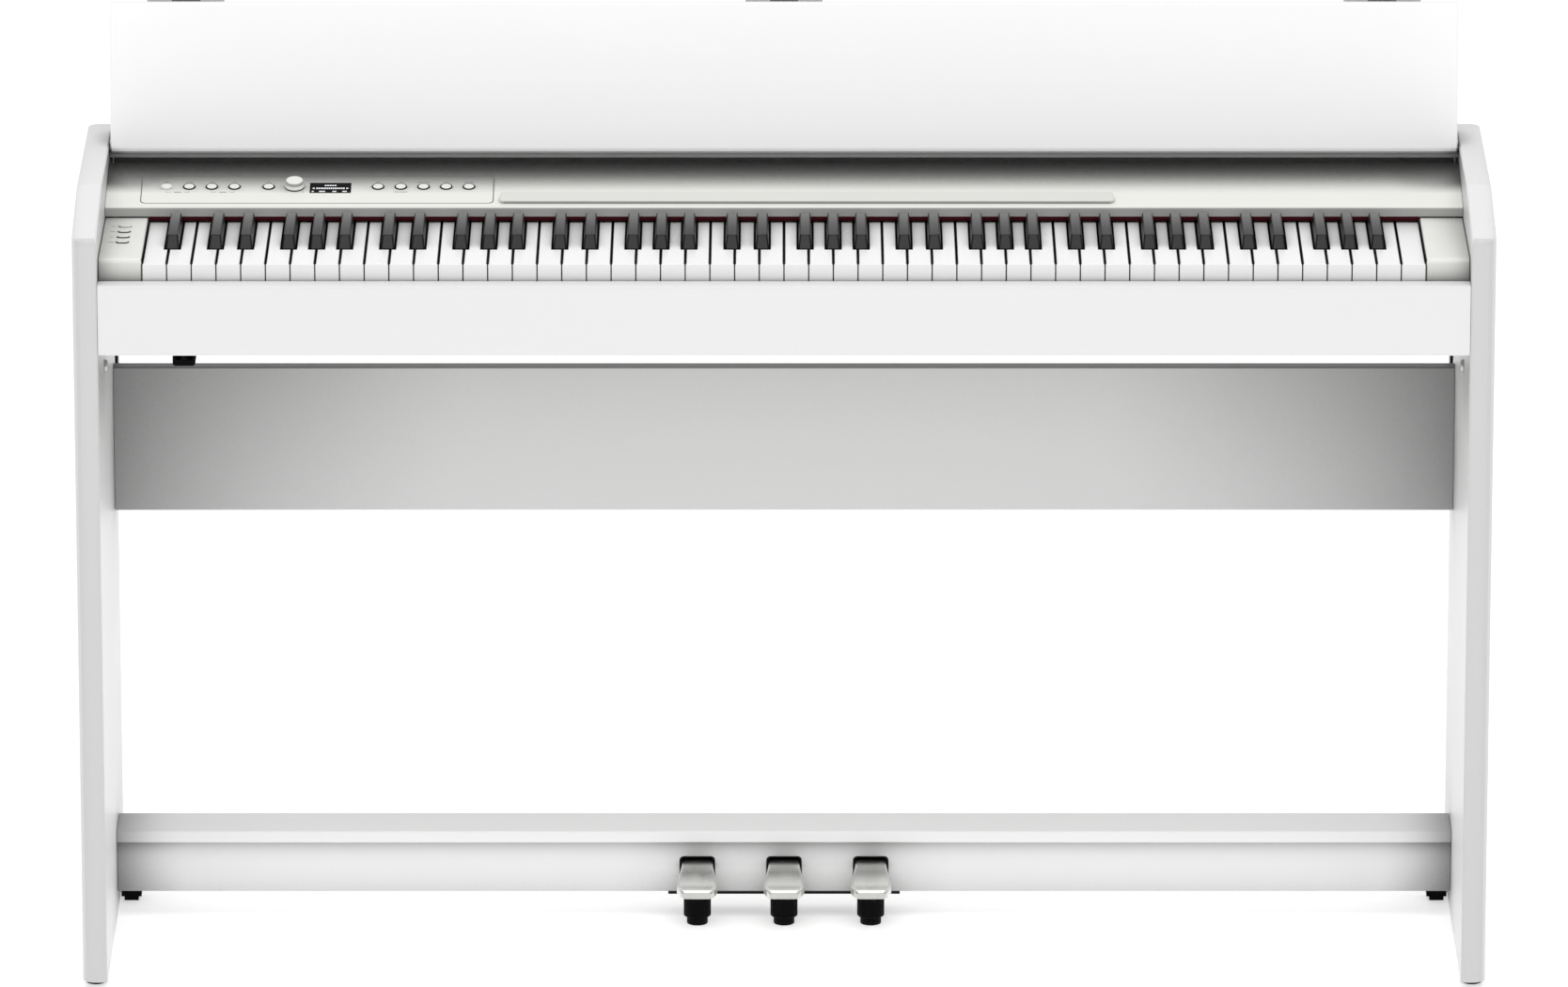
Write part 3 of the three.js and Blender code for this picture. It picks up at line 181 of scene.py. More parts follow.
def vector_math_of(tree, operation, first, second):
    """What a Vector Math node makes of two sockets or plain vectors."""
    made = node(tree, "ShaderNodeVectorMath", operation=operation)
    feed(tree, first, made.inputs[0])
    feed(tree, second, made.inputs[1])
    return made.outputs["Value" if operation == "DOT_PRODUCT" else "Vector"]


def axis_of(tree, vector, axis):
    """One of the three parts of a vector."""
    split = node(tree, "ShaderNodeSeparateXYZ")
    wire(tree, vector, split.inputs[0])
    return split.outputs[axis]


def range_of(tree, value, low, high, **settings):
    """How far a value lies from low to high: 0 up to low, 1 from high on."""
    made = node(tree, "ShaderNodeMapRange", **settings)
    for socket, given in (("Value", value), ("From Min", low), ("From Max", high)):
        feed(tree, given, made.inputs[socket])
    return made.outputs[0]


# %% [markdown]
# ## Skin texture
# Moulded plastic, foil and paint all have a fine relief and a slow drift of tone. Both can be two
# noises, one fine and one coarse. One group makes them, and each finish says how fine and how long.

# %% Node group: skin texture
FLOAT, VECTOR = "NodeSocketFloat", "NodeSocketVector"


def make_skin_group():
    tree, start, end = new_group(
        "skin_texture",
        [("Fineness", FLOAT, 1500.0), ("Drift", FLOAT, 6.0), ("Stretch", VECTOR, (1.0, 1.0, 1.0))],
        [("Relief", FLOAT), ("Tone", FLOAT)],
    )
    place = node(tree, "ShaderNodeTexCoord")
    stretched = vector_math_of(tree, "MULTIPLY", place.outputs["Object"], start.outputs["Stretch"])
    for control, output, detail in (("Fineness", "Relief", 3.0), ("Drift", "Tone", 4.0)):
        noise = node(tree, "ShaderNodeTexNoise", inputs={"Detail": detail, "Roughness": 0.55})
        wire(tree, stretched, noise.inputs["Vector"])
        wire(tree, start.outputs[control], noise.inputs["Scale"])
        wire(tree, noise.outputs["Fac"], end.inputs[output])
    return tree


skin_texture = make_skin_group()
print("group", skin_texture.name, "with", len(skin_texture.nodes), "nodes")

# %% [markdown]
# ## Soft edges
# No real edge is a perfect corner: foil wraps it, a mould rounds it, a hand polishes it. The Bevel
# node bends the normal near an edge without adding faces, and how far it bends marks the edge.
# Finishes
# paint a tone there: a painted highlight on foil and panel plastic, painted shade on white keys. Where
# it bends to the left or right, the place is on a flank, which keys need for the painted shade of
# their gaps.

# %% Node group: soft edges
def make_edge_group():
    tree, start, end = new_group(
        "soft_edges",
        [("Radius", FLOAT, 0.0006), ("Gain", FLOAT, 3.0)],
        [("Normal", VECTOR), ("Edge", FLOAT), ("Flank", FLOAT)],
    )
    bevel = node(tree, "ShaderNodeBevel", samples=4)
    wire(tree, start.outputs["Radius"], bevel.inputs["Radius"])
    bent = bevel.outputs["Normal"]
    surface = node(tree, "ShaderNodeNewGeometry")
    agree = vector_math_of(tree, "DOT_PRODUCT", bent, surface.outputs["True Normal"])
    differ = math_of(tree, "SUBTRACT", 1.0, agree)
    edge = math_of(tree, "MULTIPLY", differ, start.outputs["Gain"], use_clamp=True)
    sideways = math_of(tree, "ABSOLUTE", axis_of(tree, bent, "X"))
    flank = range_of(tree, sideways, low=0.28, high=0.48)
    for output, value in (("Normal", bent), ("Edge", edge), ("Flank", flank)):
        wire(tree, value, end.inputs[output])
    return tree


soft_edges = make_edge_group()
print("group", soft_edges.name)

# %% [markdown]
# ## Settled dust
# Even a clean piano carries a trace of dust on faces that look up. The normal's upward share,
# broken up by a noise, gives a mask for it.

# %% Node group: settled dust
def make_dust_group():
    tree, start, end = new_group(
        "settled_dust", [("Amount", FLOAT, 0.2), ("Scale", FLOAT, 30.0)], [("Mask", FLOAT)]
    )
    surface = node(tree, "ShaderNodeNewGeometry")
    upward = range_of(tree, axis_of(tree, surface.outputs["Normal"], "Z"), low=0.6, high=1.0)
    place = node(tree, "ShaderNodeTexCoord")
    noise = node(tree, "ShaderNodeTexNoise", inputs={"Detail": 6.0, "Roughness": 0.7})
    wire(tree, place.outputs["Object"], noise.inputs["Vector"])
    wire(tree, start.outputs["Scale"], noise.inputs["Scale"])
    patch = math_of(tree, "MULTIPLY", upward, noise.outputs["Fac"])
    mask = math_of(tree, "MULTIPLY", patch, start.outputs["Amount"], use_clamp=True)
    wire(tree, mask, end.inputs["Mask"])
    return tree


settled_dust = make_dust_group()
print("group", settled_dust.name)

# %% [markdown]
# ## Painted nook shade
# Gaps between keys, the foot of the lid and the rims of buttons get painted shade: their colour is
# darkened, since light reaches them from few sides. The Ambient Occlusion node measures how closed
# in a place is. It can lean towards the wall, so that it feels what stands behind a face, such as
# the lid, and then paints the lid's shadow. Upright faces can be spared, since a recess shades a
# level face most, and so can all that lies nearer to the player than some line, wholly from 2 cm
# before it.

# %% Node group: painted nook shade
FAR_IN_FRONT = -9.0
CLEAR_FADE = 0.02


def make_painted_shade_group():
    tree, start, end = new_group(
        "painted_shade_group",
        [
            ("Reach", FLOAT, 0.01), ("Low", FLOAT, 0.2), ("High", FLOAT, 0.8),
            ("Lean", VECTOR, (0.0, 0.0, 0.0)), ("Upright Least", FLOAT, 0.0),
            ("Clear Before", FLOAT, FAR_IN_FRONT),
        ],
        [("Open", FLOAT)],
    )
    surface = node(tree, "ShaderNodeNewGeometry")
    normal = surface.outputs["Normal"]
    closed_in = node(tree, "ShaderNodeAmbientOcclusion", samples=12)
    wire(tree, start.outputs["Reach"], closed_in.inputs["Distance"])
    leaning = vector_math_of(tree, "ADD", normal, start.outputs["Lean"])
    wire(tree, leaning, closed_in.inputs["Normal"])
    limits = (start.outputs["Low"], start.outputs["High"])
    opened = range_of(tree, closed_in.outputs["AO"], *limits, interpolation_type="SMOOTHSTEP")
    upright = range_of(tree, axis_of(tree, normal, "Z"), low=0.95, high=0.85)
    spared = math_of(tree, "MULTIPLY", upright, start.outputs["Upright Least"])
    place = node(tree, "ShaderNodeTexCoord")
    depth = axis_of(tree, place.outputs["Object"], "Y")
    before = math_of(tree, "SUBTRACT", start.outputs["Clear Before"], depth)
    clear = range_of(tree, before, low=0.0, high=CLEAR_FADE)
    for share in (spared, clear):
        opened = math_of(tree, "MAXIMUM", opened, share)
    wire(tree, opened, end.inputs["Open"])
    return tree


painted_shade_group = make_painted_shade_group()
print("group", painted_shade_group.name)

# %% [markdown]
# ## Joining the groups in a finish
# Most finishes here use the same effects with other values: tone between two colours, painted
# shade in recesses, painted light on edges, relief as bump over the softened normal, and roughness
# that rises with dust.

# %% Build up a finish
DUST_COLOUR = (0.62, 0.60, 0.56, 1.0)
MIX_SHARE, MIX_FIRST, MIX_SECOND, MIX_RESULT = 0, 6, 7, 2    # a Mix node's sockets for colours


def grey(value, warmth=0.0):
    """A plain grey, or with warmth a grey that leans to yellow."""
    return (value, value, value * (1.0 - warmth), 1.0)


def mixed_colour(tree, share, first, second):
    """The output of a colour mix; each end is a socket or a plain colour."""
    mix = node(tree, "ShaderNodeMix", data_type="RGBA")
    for socket, given in ((MIX_SHARE, share), (MIX_FIRST, first), (MIX_SECOND, second)):
        feed(tree, given, mix.inputs[socket])
    return mix.outputs[MIX_RESULT]


def finish_colour(tree, skin_node, edges, dust_node, tones, edge_tone, painted_flank_shade, nook):
    """Tone from the skin, then the painted tone of the edges (wear on black steel), the painted shade
    of the flanks, the dust and last the painted shade of recesses.
    """
    colour = mixed_colour(tree, skin_node.outputs["Tone"], *tones)
    # edges: painted highlight on foil and panel plastic, painted shade on white keys, wear on black
    # steel
    if edge_tone:
        colour = mixed_colour(tree, edges.outputs["Edge"], colour, edge_tone)
    # flanks: painted shade of the gaps between keys
    if painted_flank_shade:
        colour = mixed_colour(tree, edges.outputs["Flank"], colour, painted_flank_shade)
    colour = mixed_colour(tree, dust_node.outputs["Mask"], colour, DUST_COLOUR)
    # recesses: painted shade, darker where the occlusion group finds the place closed in
    if nook:
        tone, values = nook
        shade = use_group(tree, painted_shade_group, **values)
        colour = mixed_colour(tree, shade.outputs["Open"], tone, colour)
    return colour


def dressed_finish(name, tones, roughness, skin, relief, edge=0.0006, gain=3.0, dust=0.1,
                   edge_tone=None, painted_flank_shade=None, nook=None, **even):
    """A finish from the shared groups: two tones, a range of roughness, bump depth and edge radius."""
    material, tree, shader = new_finish(name, **even)
    skin_node = use_group(tree, skin_texture, **skin)
    edges = use_group(tree, soft_edges, Radius=edge, Gain=gain)
    dust_node = use_group(tree, settled_dust, Amount=dust)
    colour = finish_colour(tree, skin_node, edges, dust_node, tones, edge_tone, painted_flank_shade, nook)
    wire(tree, colour, shader.inputs["Base Color"])
    limits = {"To Min": roughness[0], "To Max": roughness[1]}
    drift = range_of(tree, skin_node.outputs["Tone"], low=0.3, high=0.7, inputs=limits)
    rougher = math_of(tree, "ADD", drift, dust_node.outputs["Mask"], use_clamp=True)
    wire(tree, rougher, shader.inputs["Roughness"])
    bump = node(tree, "ShaderNodeBump", inputs={"Distance": relief})
    wire(tree, skin_node.outputs["Relief"], bump.inputs["Height"])
    wire(tree, edges.outputs["Normal"], bump.inputs["Normal"])
    wire(tree, bump.outputs["Normal"], shader.inputs["Normal"])
    print("finish", name, "roughness", roughness)
    return material


# %% [markdown]
# ## White foil
# The boards are wrapped in a satin white foil. Its relief is a very shallow pore, drawn out along
# the board, which only shows as a softened highlight. Edges are painted paler, a painted highlight,
# and where boards meet painted shade greys them a little. Side panels, rear board and pedal board
# take lit and shaded copies of the foil, with other tones and painted shade of their own; faces of
# the side panels that look to the player are painted greyer, a painted shade.

# %% Finish: white foil
WHITE_FOIL = {
    "tones": (grey(0.70), grey(0.74)),
    "roughness": (0.34, 0.42),
    "skin": {"Fineness": 900.0, "Drift": 5.0, "Stretch": (0.15, 1.0, 1.0)},
    "relief": 0.00004,
    "edge": 0.0010,
    # painted highlight: edges paler than the face
    "edge_tone": grey(0.92),
    "dust": 0.02,
    # painted shade where boards meet
    "nook": (grey(0.12), {"Reach": 0.02, "Low": 0.1, "High": 0.5}),
}
# A lit and shaded copy for the side panels: paler tones, and painted shade that leans to the wall.
SIDE_FOIL_LIT_AND_SHADED = {
    **WHITE_FOIL,
    "tones": (grey(0.75), grey(0.79)),
    "nook": (grey(0.34), {"Reach": 0.12, "Low": 0.15, "High": 0.90, "Lean": (0.0, 0.2, 0.9)}),
}
# A shaded copy for the rear board: darker tones and a wide painted shade under the key bed.
KNEE_FOIL_SHADED = {
    **WHITE_FOIL,
    "tones": (grey(0.68), grey(0.72)),
    "nook": (grey(0.12), {"Reach": 0.35, "Low": 0.10, "High": 0.92}),
}
# A lit and shaded copy for the pedal board: paler tones and painted shade round the pedals.
PEDAL_FOIL_LIT_AND_SHADED = {
    **WHITE_FOIL,
    "tones": (grey(0.77), grey(0.81)),
    "nook": (grey(0.14), {"Reach": 0.07, "Low": 0.25, "High": 1.0}),
}


def overlay(material, share, tone):
    """Mixes a tone over all that colours a material so far."""
    tree = material.node_tree
    base = tree.nodes["Principled BSDF"].inputs["Base Color"]
    wire(tree, mixed_colour(tree, share, base.links[0].from_socket, tone), base)


def faced_share(tree, start=-0.90, full=-0.99):
    """How far a face looks along y, from one value of the object's own normal to the other; the mask
    of painted shade on faces.

    The object's normal, unlike the world's, stays with its faces when a joint moves them."""
    surface = node(tree, "ShaderNodeTexCoord")
    return range_of(tree, axis_of(tree, surface.outputs["Normal"], "Y"), start, full)


def painted_facing_shade(material, tone, *limits):
    """Painted shade: another, darker tone on faces that look to the player (-y), or to the wall (+y).
    """
    overlay(material, faced_share(material.node_tree, *limits), tone)


cabinet_white = dressed_finish("cabinet_white", **WHITE_FOIL)
side_white_lit_and_shaded = dressed_finish("side_white_lit_and_shaded", **SIDE_FOIL_LIT_AND_SHADED)
# painted shade: faces of the side panels that look to the player are greyer
painted_facing_shade(side_white_lit_and_shaded, grey(0.56), -0.25, -0.75)
knee_white_shaded = dressed_finish("knee_white_shaded", **KNEE_FOIL_SHADED)
pedal_board_white_lit_and_shaded = dressed_finish("pedal_board_white_lit_and_shaded", **PEDAL_FOIL_LIT_AND_SHADED)

# %% [markdown]
# ## Hinge metal on the lid
# Each lid leaf and the steel of its fold hinges are one solid, so one finish has to show both. In
# the rest pose the leaves stand parallel, and their hinge steel is all that rises over the board's
# face or reaches past its end. Two dot products from the fold line therefore give a clean mask.

# %% Node group: hinge metal
FOLD_LINE = (0.0, 0.1274046, 0.9171188)
LEAN = math.radians(10)
UP_LEAF = (0.0, math.sin(LEAN), math.cos(LEAN))


def make_hinge_group():
    tree, start, end = new_group(
        "hinge_metal",
        [("Outward", VECTOR, (0.0, 1.0, 0.0)), ("Face", FLOAT, -0.0009), ("End", FLOAT, -0.0033)],
        [("Metal", FLOAT)],
    )
    place = node(tree, "ShaderNodeTexCoord")
    offset = vector_math_of(tree, "SUBTRACT", place.outputs["Object"], FOLD_LINE)
    over = vector_math_of(tree, "DOT_PRODUCT", offset, start.outputs["Outward"])
    past = vector_math_of(tree, "DOT_PRODUCT", offset, UP_LEAF)
    proud = math_of(tree, "GREATER_THAN", over, start.outputs["Face"])
    beyond = math_of(tree, "GREATER_THAN", past, start.outputs["End"])
    wire(tree, math_of(tree, "MAXIMUM", proud, beyond), end.inputs["Metal"])
    return tree


hinge_metal = make_hinge_group()
print("group", hinge_metal.name)

# %% [markdown]
# ## Lid finishes
# The lid panel and the folded flap take white foil too, with bare steel where the mask says so. Both
# are lit copies of the foil, with paler tones than the cabinet: the panel's inner side, which the
# player sees, is the brightest, faces that look to the wall are painted darker, and the panel's foot
# gets painted shade over the control panel.

# %% Finishes: lid panel and lid flap
# A lit copy for the lid panel: the palest tones, with painted shade at its foot.
LID_FOIL_LIT_AND_SHADED = {
    **WHITE_FOIL,
    "tones": (grey(0.89), grey(0.93)),
    "nook": (grey(0.12), {"Reach": 0.022, "Low": 0.30, "High": 0.90}),
}
# A lit copy for the flap, paler than the cabinet.
FLAP_FOIL_LIT_AND_SHADED = {**WHITE_FOIL, "tones": (grey(0.76), grey(0.80))}


def lid_finish(name, outward, foil_values):
    """White foil with steel hinge leaves and knuckles, and painted shade on faces that look to the
    wall.
    """
    material = dressed_finish(name, **foil_values)
    # painted shade: faces that look to the wall darker
    painted_facing_shade(material, grey(0.74), 0.5, 0.8)
    tree = material.node_tree
    metal = use_group(tree, hinge_metal, Outward=outward).outputs["Metal"]
    overlay(material, metal, grey(0.50))
    wire(tree, metal, tree.nodes["Principled BSDF"].inputs["Metallic"])
    return material


lid_panel_white_lit_and_shaded = lid_finish("lid_panel_white_lit_and_shaded", (0.0, math.cos(LEAN), -math.sin(LEAN)), LID_FOIL_LIT_AND_SHADED)
lid_flap_white_lit_and_shaded = lid_finish("lid_flap_white_lit_and_shaded", (0.0, -math.cos(LEAN), math.sin(LEAN)), FLAP_FOIL_LIT_AND_SHADED)

# %% [markdown]
# ## Bare board
# The key bed is a plain board under a thin grey sealer, never seen by the player. Its chips need a
# coarser noise and two clearly different tones.

# %% Finish: bare board
cabinet_core = dressed_finish(
    "cabinet_core",
    tones=(grey(0.44, 0.06), grey(0.58, 0.05)),
    roughness=(0.6, 0.75),
    skin={"Fineness": 700.0, "Drift": 260.0, "Stretch": (0.5, 1.0, 1.0)},
    relief=0.00015,
    edge=0.0006,
)

# %% [markdown]
# ## Moulded panel plastic
# The control panel and the music ledge are moulded in a warm light grey. The tool is spark eroded,
# so the plastic is finely matt. The standing lid closes it in at the back: a wide reach of painted
# shade gives the long fade from the lid's foot to the bright front edge, a painted shadow of the lid.
# Edges are painted paler, a painted highlight, and faces that look to the player darker, a painted
# shade. The ledge is painted a shade darker, and the grip of the dial much darker: shaded copies of
# the plastic. Cheek blocks and buttons take copies with painted shade where they are closed in.

# %% Finish: panel plastic
PANEL_PLASTIC = {
    "tones": (grey(0.76, 0.045), grey(0.80, 0.045)),
    "roughness": (0.40, 0.48),
    "skin": {"Fineness": 2600.0, "Drift": 8.0},
    "relief": 0.00003,
    "edge": 0.0006,
    # painted highlight: edges paler than the face
    "edge_tone": grey(0.90, 0.03),
    "dust": 0.02,
}
# A shaded copy for the music ledge: darker tones, with edges a little paler, a painted highlight.
LEDGE_PLASTIC_SHADED = {
    **PANEL_PLASTIC,
    "tones": (grey(0.65, 0.045), grey(0.69, 0.045)),
    "edge_tone": grey(0.70, 0.03),
}
# A shaded copy for the dial's grip: much darker tones, the painted shade of its ribs.
GRIP_PLASTIC_SHADED = {**PANEL_PLASTIC, "tones": (grey(0.36, 0.04), grey(0.42, 0.04))}
# Painted shadow of the standing lid on the panel, found by occlusion that leans to the wall.
LID_SHADE = {
    "Reach": 0.068, "Low": 0.10, "High": 0.52,
    "Lean": (0.0, 4.0, 0.0), "Upright Least": 1.0, "Clear Before": 0.046,
}
LID_PAINTED_SHADE = (grey(0.022, 0.03), LID_SHADE)
# painted shadow of the lid on the panel's slope
panel_grey = dressed_finish("panel_grey", nook=LID_PAINTED_SHADE, **PANEL_PLASTIC)
# painted shade: the panel's upright face towards the player darker
painted_facing_shade(panel_grey, grey(0.40, 0.03))
ledge_grey_shaded = dressed_finish("ledge_grey_shaded", nook=LID_PAINTED_SHADE, **LEDGE_PLASTIC_SHADED)
# painted shade: the ledge's face towards the player darker
painted_facing_shade(ledge_grey_shaded, grey(0.27, 0.03))
cheek_grey_shaded = dressed_finish(
    "cheek_grey_shaded",
    # painted shade where the side panel and the control panel close the block in
    nook=(grey(0.21, 0.03), {"Reach": 0.05, "Low": 0.15, "High": 0.98}),
    **PANEL_PLASTIC,
)
button_grey_shaded = dressed_finish(
    "button_grey_shaded",
    # painted shade at the rims of the buttons
    nook=(grey(0.10, 0.03), {"Reach": 0.004, "Low": 0.2, "High": 0.9}),
    **PANEL_PLASTIC,
)
grip_grey_shaded = dressed_finish("grip_grey_shaded", **GRIP_PLASTIC_SHADED)

# %% [markdown]
# ## White and black keys
# White keys are a dense, slightly glossy plastic. Painted shade turns the narrow gaps between them
# into black lines and darkens their edges. Black keys are charcoal and nearly matt, with a fine grain
# that keeps fingers from slipping. Their flanks are painted black, a painted shade of the gap, and
# towards the felt their tops turn paler, a painted highlight. White keys get painted shade there,
# and between two black keys, which shade them. Their front faces are painted a little greyer too, a
# painted shade.

# %% Finish: keys
key_white = dressed_finish(
    "key_white",
    tones=(grey(0.87), grey(0.91)),
    roughness=(0.26, 0.34),
    skin={"Fineness": 1800.0, "Drift": 14.0, "Stretch": (1.0, 0.2, 1.0)},
    relief=0.00001,
    edge=0.0006,
    gain=8.0,
    # painted shade: a darker line along the edges of white keys
    edge_tone=grey(0.50),
    # painted shade: the flanks of white keys black in the gaps
    painted_flank_shade=grey(0.002),
    dust=0.0,
    # painted shade in the gaps and round the black keys
    nook=(grey(0.004), {"Reach": 0.012, "Low": 0.08, "High": 0.62}),
)
key_black = dressed_finish(
    "key_black",
    tones=(grey(0.014), grey(0.022)),
    roughness=(0.36, 0.46),
    skin={"Fineness": 3200.0, "Drift": 20.0, "Stretch": (1.0, 0.12, 1.0)},
    relief=0.00003,
    edge=0.0010,
    # painted shade: the flanks of black keys black
    painted_flank_shade=grey(0.0),
    dust=0.0,
    # painted shade at the foot of the black keys
    nook=(grey(0.001), {"Reach": 0.010, "Low": 0.30, "High": 0.85}),
    Specular_IOR_Level=0.22,
)


def tone_on_skin(tree, share, tone):
    """Mixes in a painted tone straight after the skin's own, so that the painted edges, gaps and
    recesses stay over it.
    """
    skin_mix = next(part for part in tree.nodes if part.bl_idname == "ShaderNodeMix")
    skin_colour = skin_mix.outputs[MIX_RESULT]
    behind = skin_colour.links[0].to_socket
    wire(tree, mixed_colour(tree, share, skin_colour, tone), behind)


def painted_rear_shading(material, front, rear, tone, slowness=1.6):
    """Painted shading: another tone from y = front to y = rear, along keys that run in under the felt.
    """
    tree = material.node_tree
    place = node(tree, "ShaderNodeTexCoord")
    along = range_of(tree, axis_of(tree, place.outputs["Object"], "Y"), front, rear)
    tone_on_skin(tree, math_of(tree, "POWER", along, slowness), tone)


def shade_between(material, tone):
    """Painted shade: a darker tone where black keys stand close on both sides, but not on upright
    faces.
    """
    tree = material.node_tree
    shade = use_group(tree, painted_shade_group, Reach=0.03, Low=0.30, High=0.85, Upright_Least=1.0)
    tone_on_skin(tree, math_of(tree, "SUBTRACT", 1.0, shade.outputs["Open"]), tone)


# painted shade: white keys greyer towards the felt
painted_rear_shading(key_white, -0.065, 0.004, grey(0.60))
# painted shade between two black keys
shade_between(key_white, grey(0.22))
# painted shade: the fronts of white keys a little greyer
tone_on_skin(key_white.node_tree, faced_share(key_white.node_tree), grey(0.79))
# painted highlight: black key tops paler towards the felt
painted_rear_shading(key_black, -0.085, -0.002, grey(0.20))

# %% [markdown]
# ## Black parts
# Chassis, headphone box, feet and speakers are black moulded plastic; the pedal plate is black
# painted steel, a little smoother, with a trace of grey where its edges have been rubbed. A dark grey
# finish fills the joint round the control plate, a painted shade of the seam. Black plastic also
# makes the dark drums, rings and sheets that stand for shade round buttons and beside the keys.

# %% Finish: black parts
black_plastic = dressed_finish(
    "black_plastic",
    tones=(grey(0.001), grey(0.003)),
    roughness=(0.42, 0.55),
    skin={"Fineness": 2400.0, "Drift": 25.0},
    relief=0.00004,
    edge=0.0005,
    edge_tone=grey(0.02),
    dust=0.003,
    Specular_IOR_Level=0.05,
)
# painted shade of the seam round the control plate
seam_shade_grey = dressed_finish(
    "seam_shade_grey",
    tones=(grey(0.11), grey(0.15)),
    roughness=(0.6, 0.7),
    skin={"Fineness": 2400.0, "Drift": 60.0},
    relief=0.00002,
    edge=0.0001,
    dust=0.0,
)
black_steel = dressed_finish(
    "black_steel",
    tones=(grey(0.003), grey(0.007)),
    roughness=(0.32, 0.42),
    skin={"Fineness": 1400.0, "Drift": 30.0},
    relief=0.00003,
    edge=0.0005,
    edge_tone=grey(0.03),
    dust=0.003,
    Specular_IOR_Level=0.12,
)

# %% [markdown]
# ## Bright metal
# The pedals are pressed steel with a satin nickel skin, brushed along their length, so the noise is
# stretched in y. Their faces that look to the player are painted darker and their recesses get
# painted shade. Screws and bolts are plain zinc plated steel, a little greyer, with painted shade in
# their sockets and crosses.

# %% Finish: bright metal
pedal_metal = dressed_finish(
    "pedal_metal",
    tones=(grey(0.90, 0.03), grey(0.97, 0.03)),
    roughness=(0.24, 0.34),
    skin={"Fineness": 3000.0, "Drift": 60.0, "Stretch": (1.0, 0.04, 1.0)},
    relief=0.00002,
    edge=0.0012,
    dust=0.02,
    # painted shade in the pedals' recesses
    nook=(grey(0.40), {"Reach": 0.02, "Low": 0.1, "High": 0.7}),
    Metallic=1.0,
)
# painted shade: faces of the pedals that look to the player darker
painted_facing_shade(pedal_metal, grey(0.50, 0.03), -0.35, -0.85)
hardware_steel = dressed_finish(
    "hardware_steel",
    tones=(grey(0.46), grey(0.60)),
    roughness=(0.28, 0.42),
    skin={"Fineness": 2500.0, "Drift": 300.0},
    relief=0.00001,
    edge=0.0002,
    dust=0.05,
    # painted shade in the sockets and crosses
    nook=(grey(0.01), {"Reach": 0.005, "Low": 0.3, "High": 0.9}),
    Metallic=1.0,
)

# %% [markdown]
# ## Display glass
# The display is a black window: almost black underneath, smooth on top, with faint smears that only
# change its roughness. Its reflections are weak, as on coated glass.

# %% Finish: display glass
display_glass = dressed_finish(
    "display_glass",
    tones=(grey(0.002), grey(0.004)),
    roughness=(0.08, 0.18),
    skin={"Fineness": 400.0, "Drift": 120.0},
    relief=0.000002,
    edge=0.0003,
    dust=0.0,
    Specular_IOR_Level=0.03,
)

# %% [markdown]
# ## Red felt
# A dark red felt strip quiets the keys where they meet the panel. Felt is a mat of short fibres:
# rough, with a soft sheen along its outline, and mottled between two reds.

# %% Finish: red felt
felt_red = dressed_finish(
    "felt_red",
    tones=((0.026, 0.0015, 0.003, 1.0), (0.058, 0.003, 0.007, 1.0)),
    roughness=(0.85, 0.95),
    skin={"Fineness": 1600.0, "Drift": 420.0},
    relief=0.0003,
    edge=0.0008,
    dust=0.0,
    Specular_IOR_Level=0.1,
    Sheen_Weight=0.05,
    Sheen_Roughness=0.5,
)

# %% [markdown]
# ## Handing out the finishes
# The record of the piano says which finish each solid takes. Reading it keeps the two in step. A
# few solids take a copy of their slot's finish with painted light and shade of its own, because they
# are closed in and lit differently.

# %% Put the finishes on the solids
finishes = {
    "cabinet_white": cabinet_white,
    "cabinet_core": cabinet_core,
    "panel_grey": panel_grey,
    "key_white": key_white,
    "key_black": key_black,
    "felt_red": felt_red,
    "display_glass": display_glass,
    "black_plastic": black_plastic,
    "pedal_metal": pedal_metal,
    "black_steel": black_steel,
}
variants = {
    "side_panel_left": side_white_lit_and_shaded,
    "side_panel_right": side_white_lit_and_shaded,
    "rear_board": knee_white_shaded,
    "pedal_board": pedal_board_white_lit_and_shaded,
    "lid_panel": lid_panel_white_lit_and_shaded,
    "lid_flap": lid_flap_white_lit_and_shaded,
    "music_ledge": ledge_grey_shaded,
    "cheek_block_left": cheek_grey_shaded,
    "cheek_block_right": cheek_grey_shaded,
}
for entry in frame["record"]["subparts"]:
    finish = variants.get(entry["node"], finishes[entry["material_slot"]])
    for slot in nodes[entry["node"]].material_slots:
        slot.material = finish

# %% [markdown]
# ## Helpers for outlines
# Small parts are drawn in millimetres around their own origin, from a few outlines: a circle, which
# may have ribs, an oval and a rectangle.

# %% Draw outlines
def swung(reach, angle, x=0.0, y=0.0):
    """The point that lies this far from (x, y) at this angle."""
    return (x + reach * math.cos(angle), y + reach * math.sin(angle))


def circle(radius, sides=48, ribs=0.0):
    """Points on a circle; with ribs, every second pair of points lies lower by that much."""
    outline = []
    for step in range(sides):
        reach = radius - ribs * (step % 4 > 1)
        outline.append(swung(reach, 2 * math.pi * (step + 0.5) / sides))
    return outline


def oval(length, width, arc_steps=16):
    """Straight along x, with a half circle at each end."""
    radius = width / 2
    outline = []
    for end in (1, -1):
        for step in range(arc_steps + 1):
            angle = math.pi * (step / arc_steps - 0.5)
            across = (length - width) / 2 + radius * math.cos(angle)
            outline.append((end * across, end * radius * math.sin(angle)))
    return outline


def rectangle(x0, x1, y0, y1):
    return [(x0, y0), (x1, y0), (x1, y1), (x0, y1)]


print("a circle has", len(circle(1.0)), "points, an oval", len(oval(2.0, 1.0)))

# %% [markdown]
# ## Helpers for turned and stacked shapes
# Buttons, screws, rings and feet are all outlines stacked in layers. A stack that closes on itself
# makes a ring. Layers that are points already, not flat outlines, are swept.

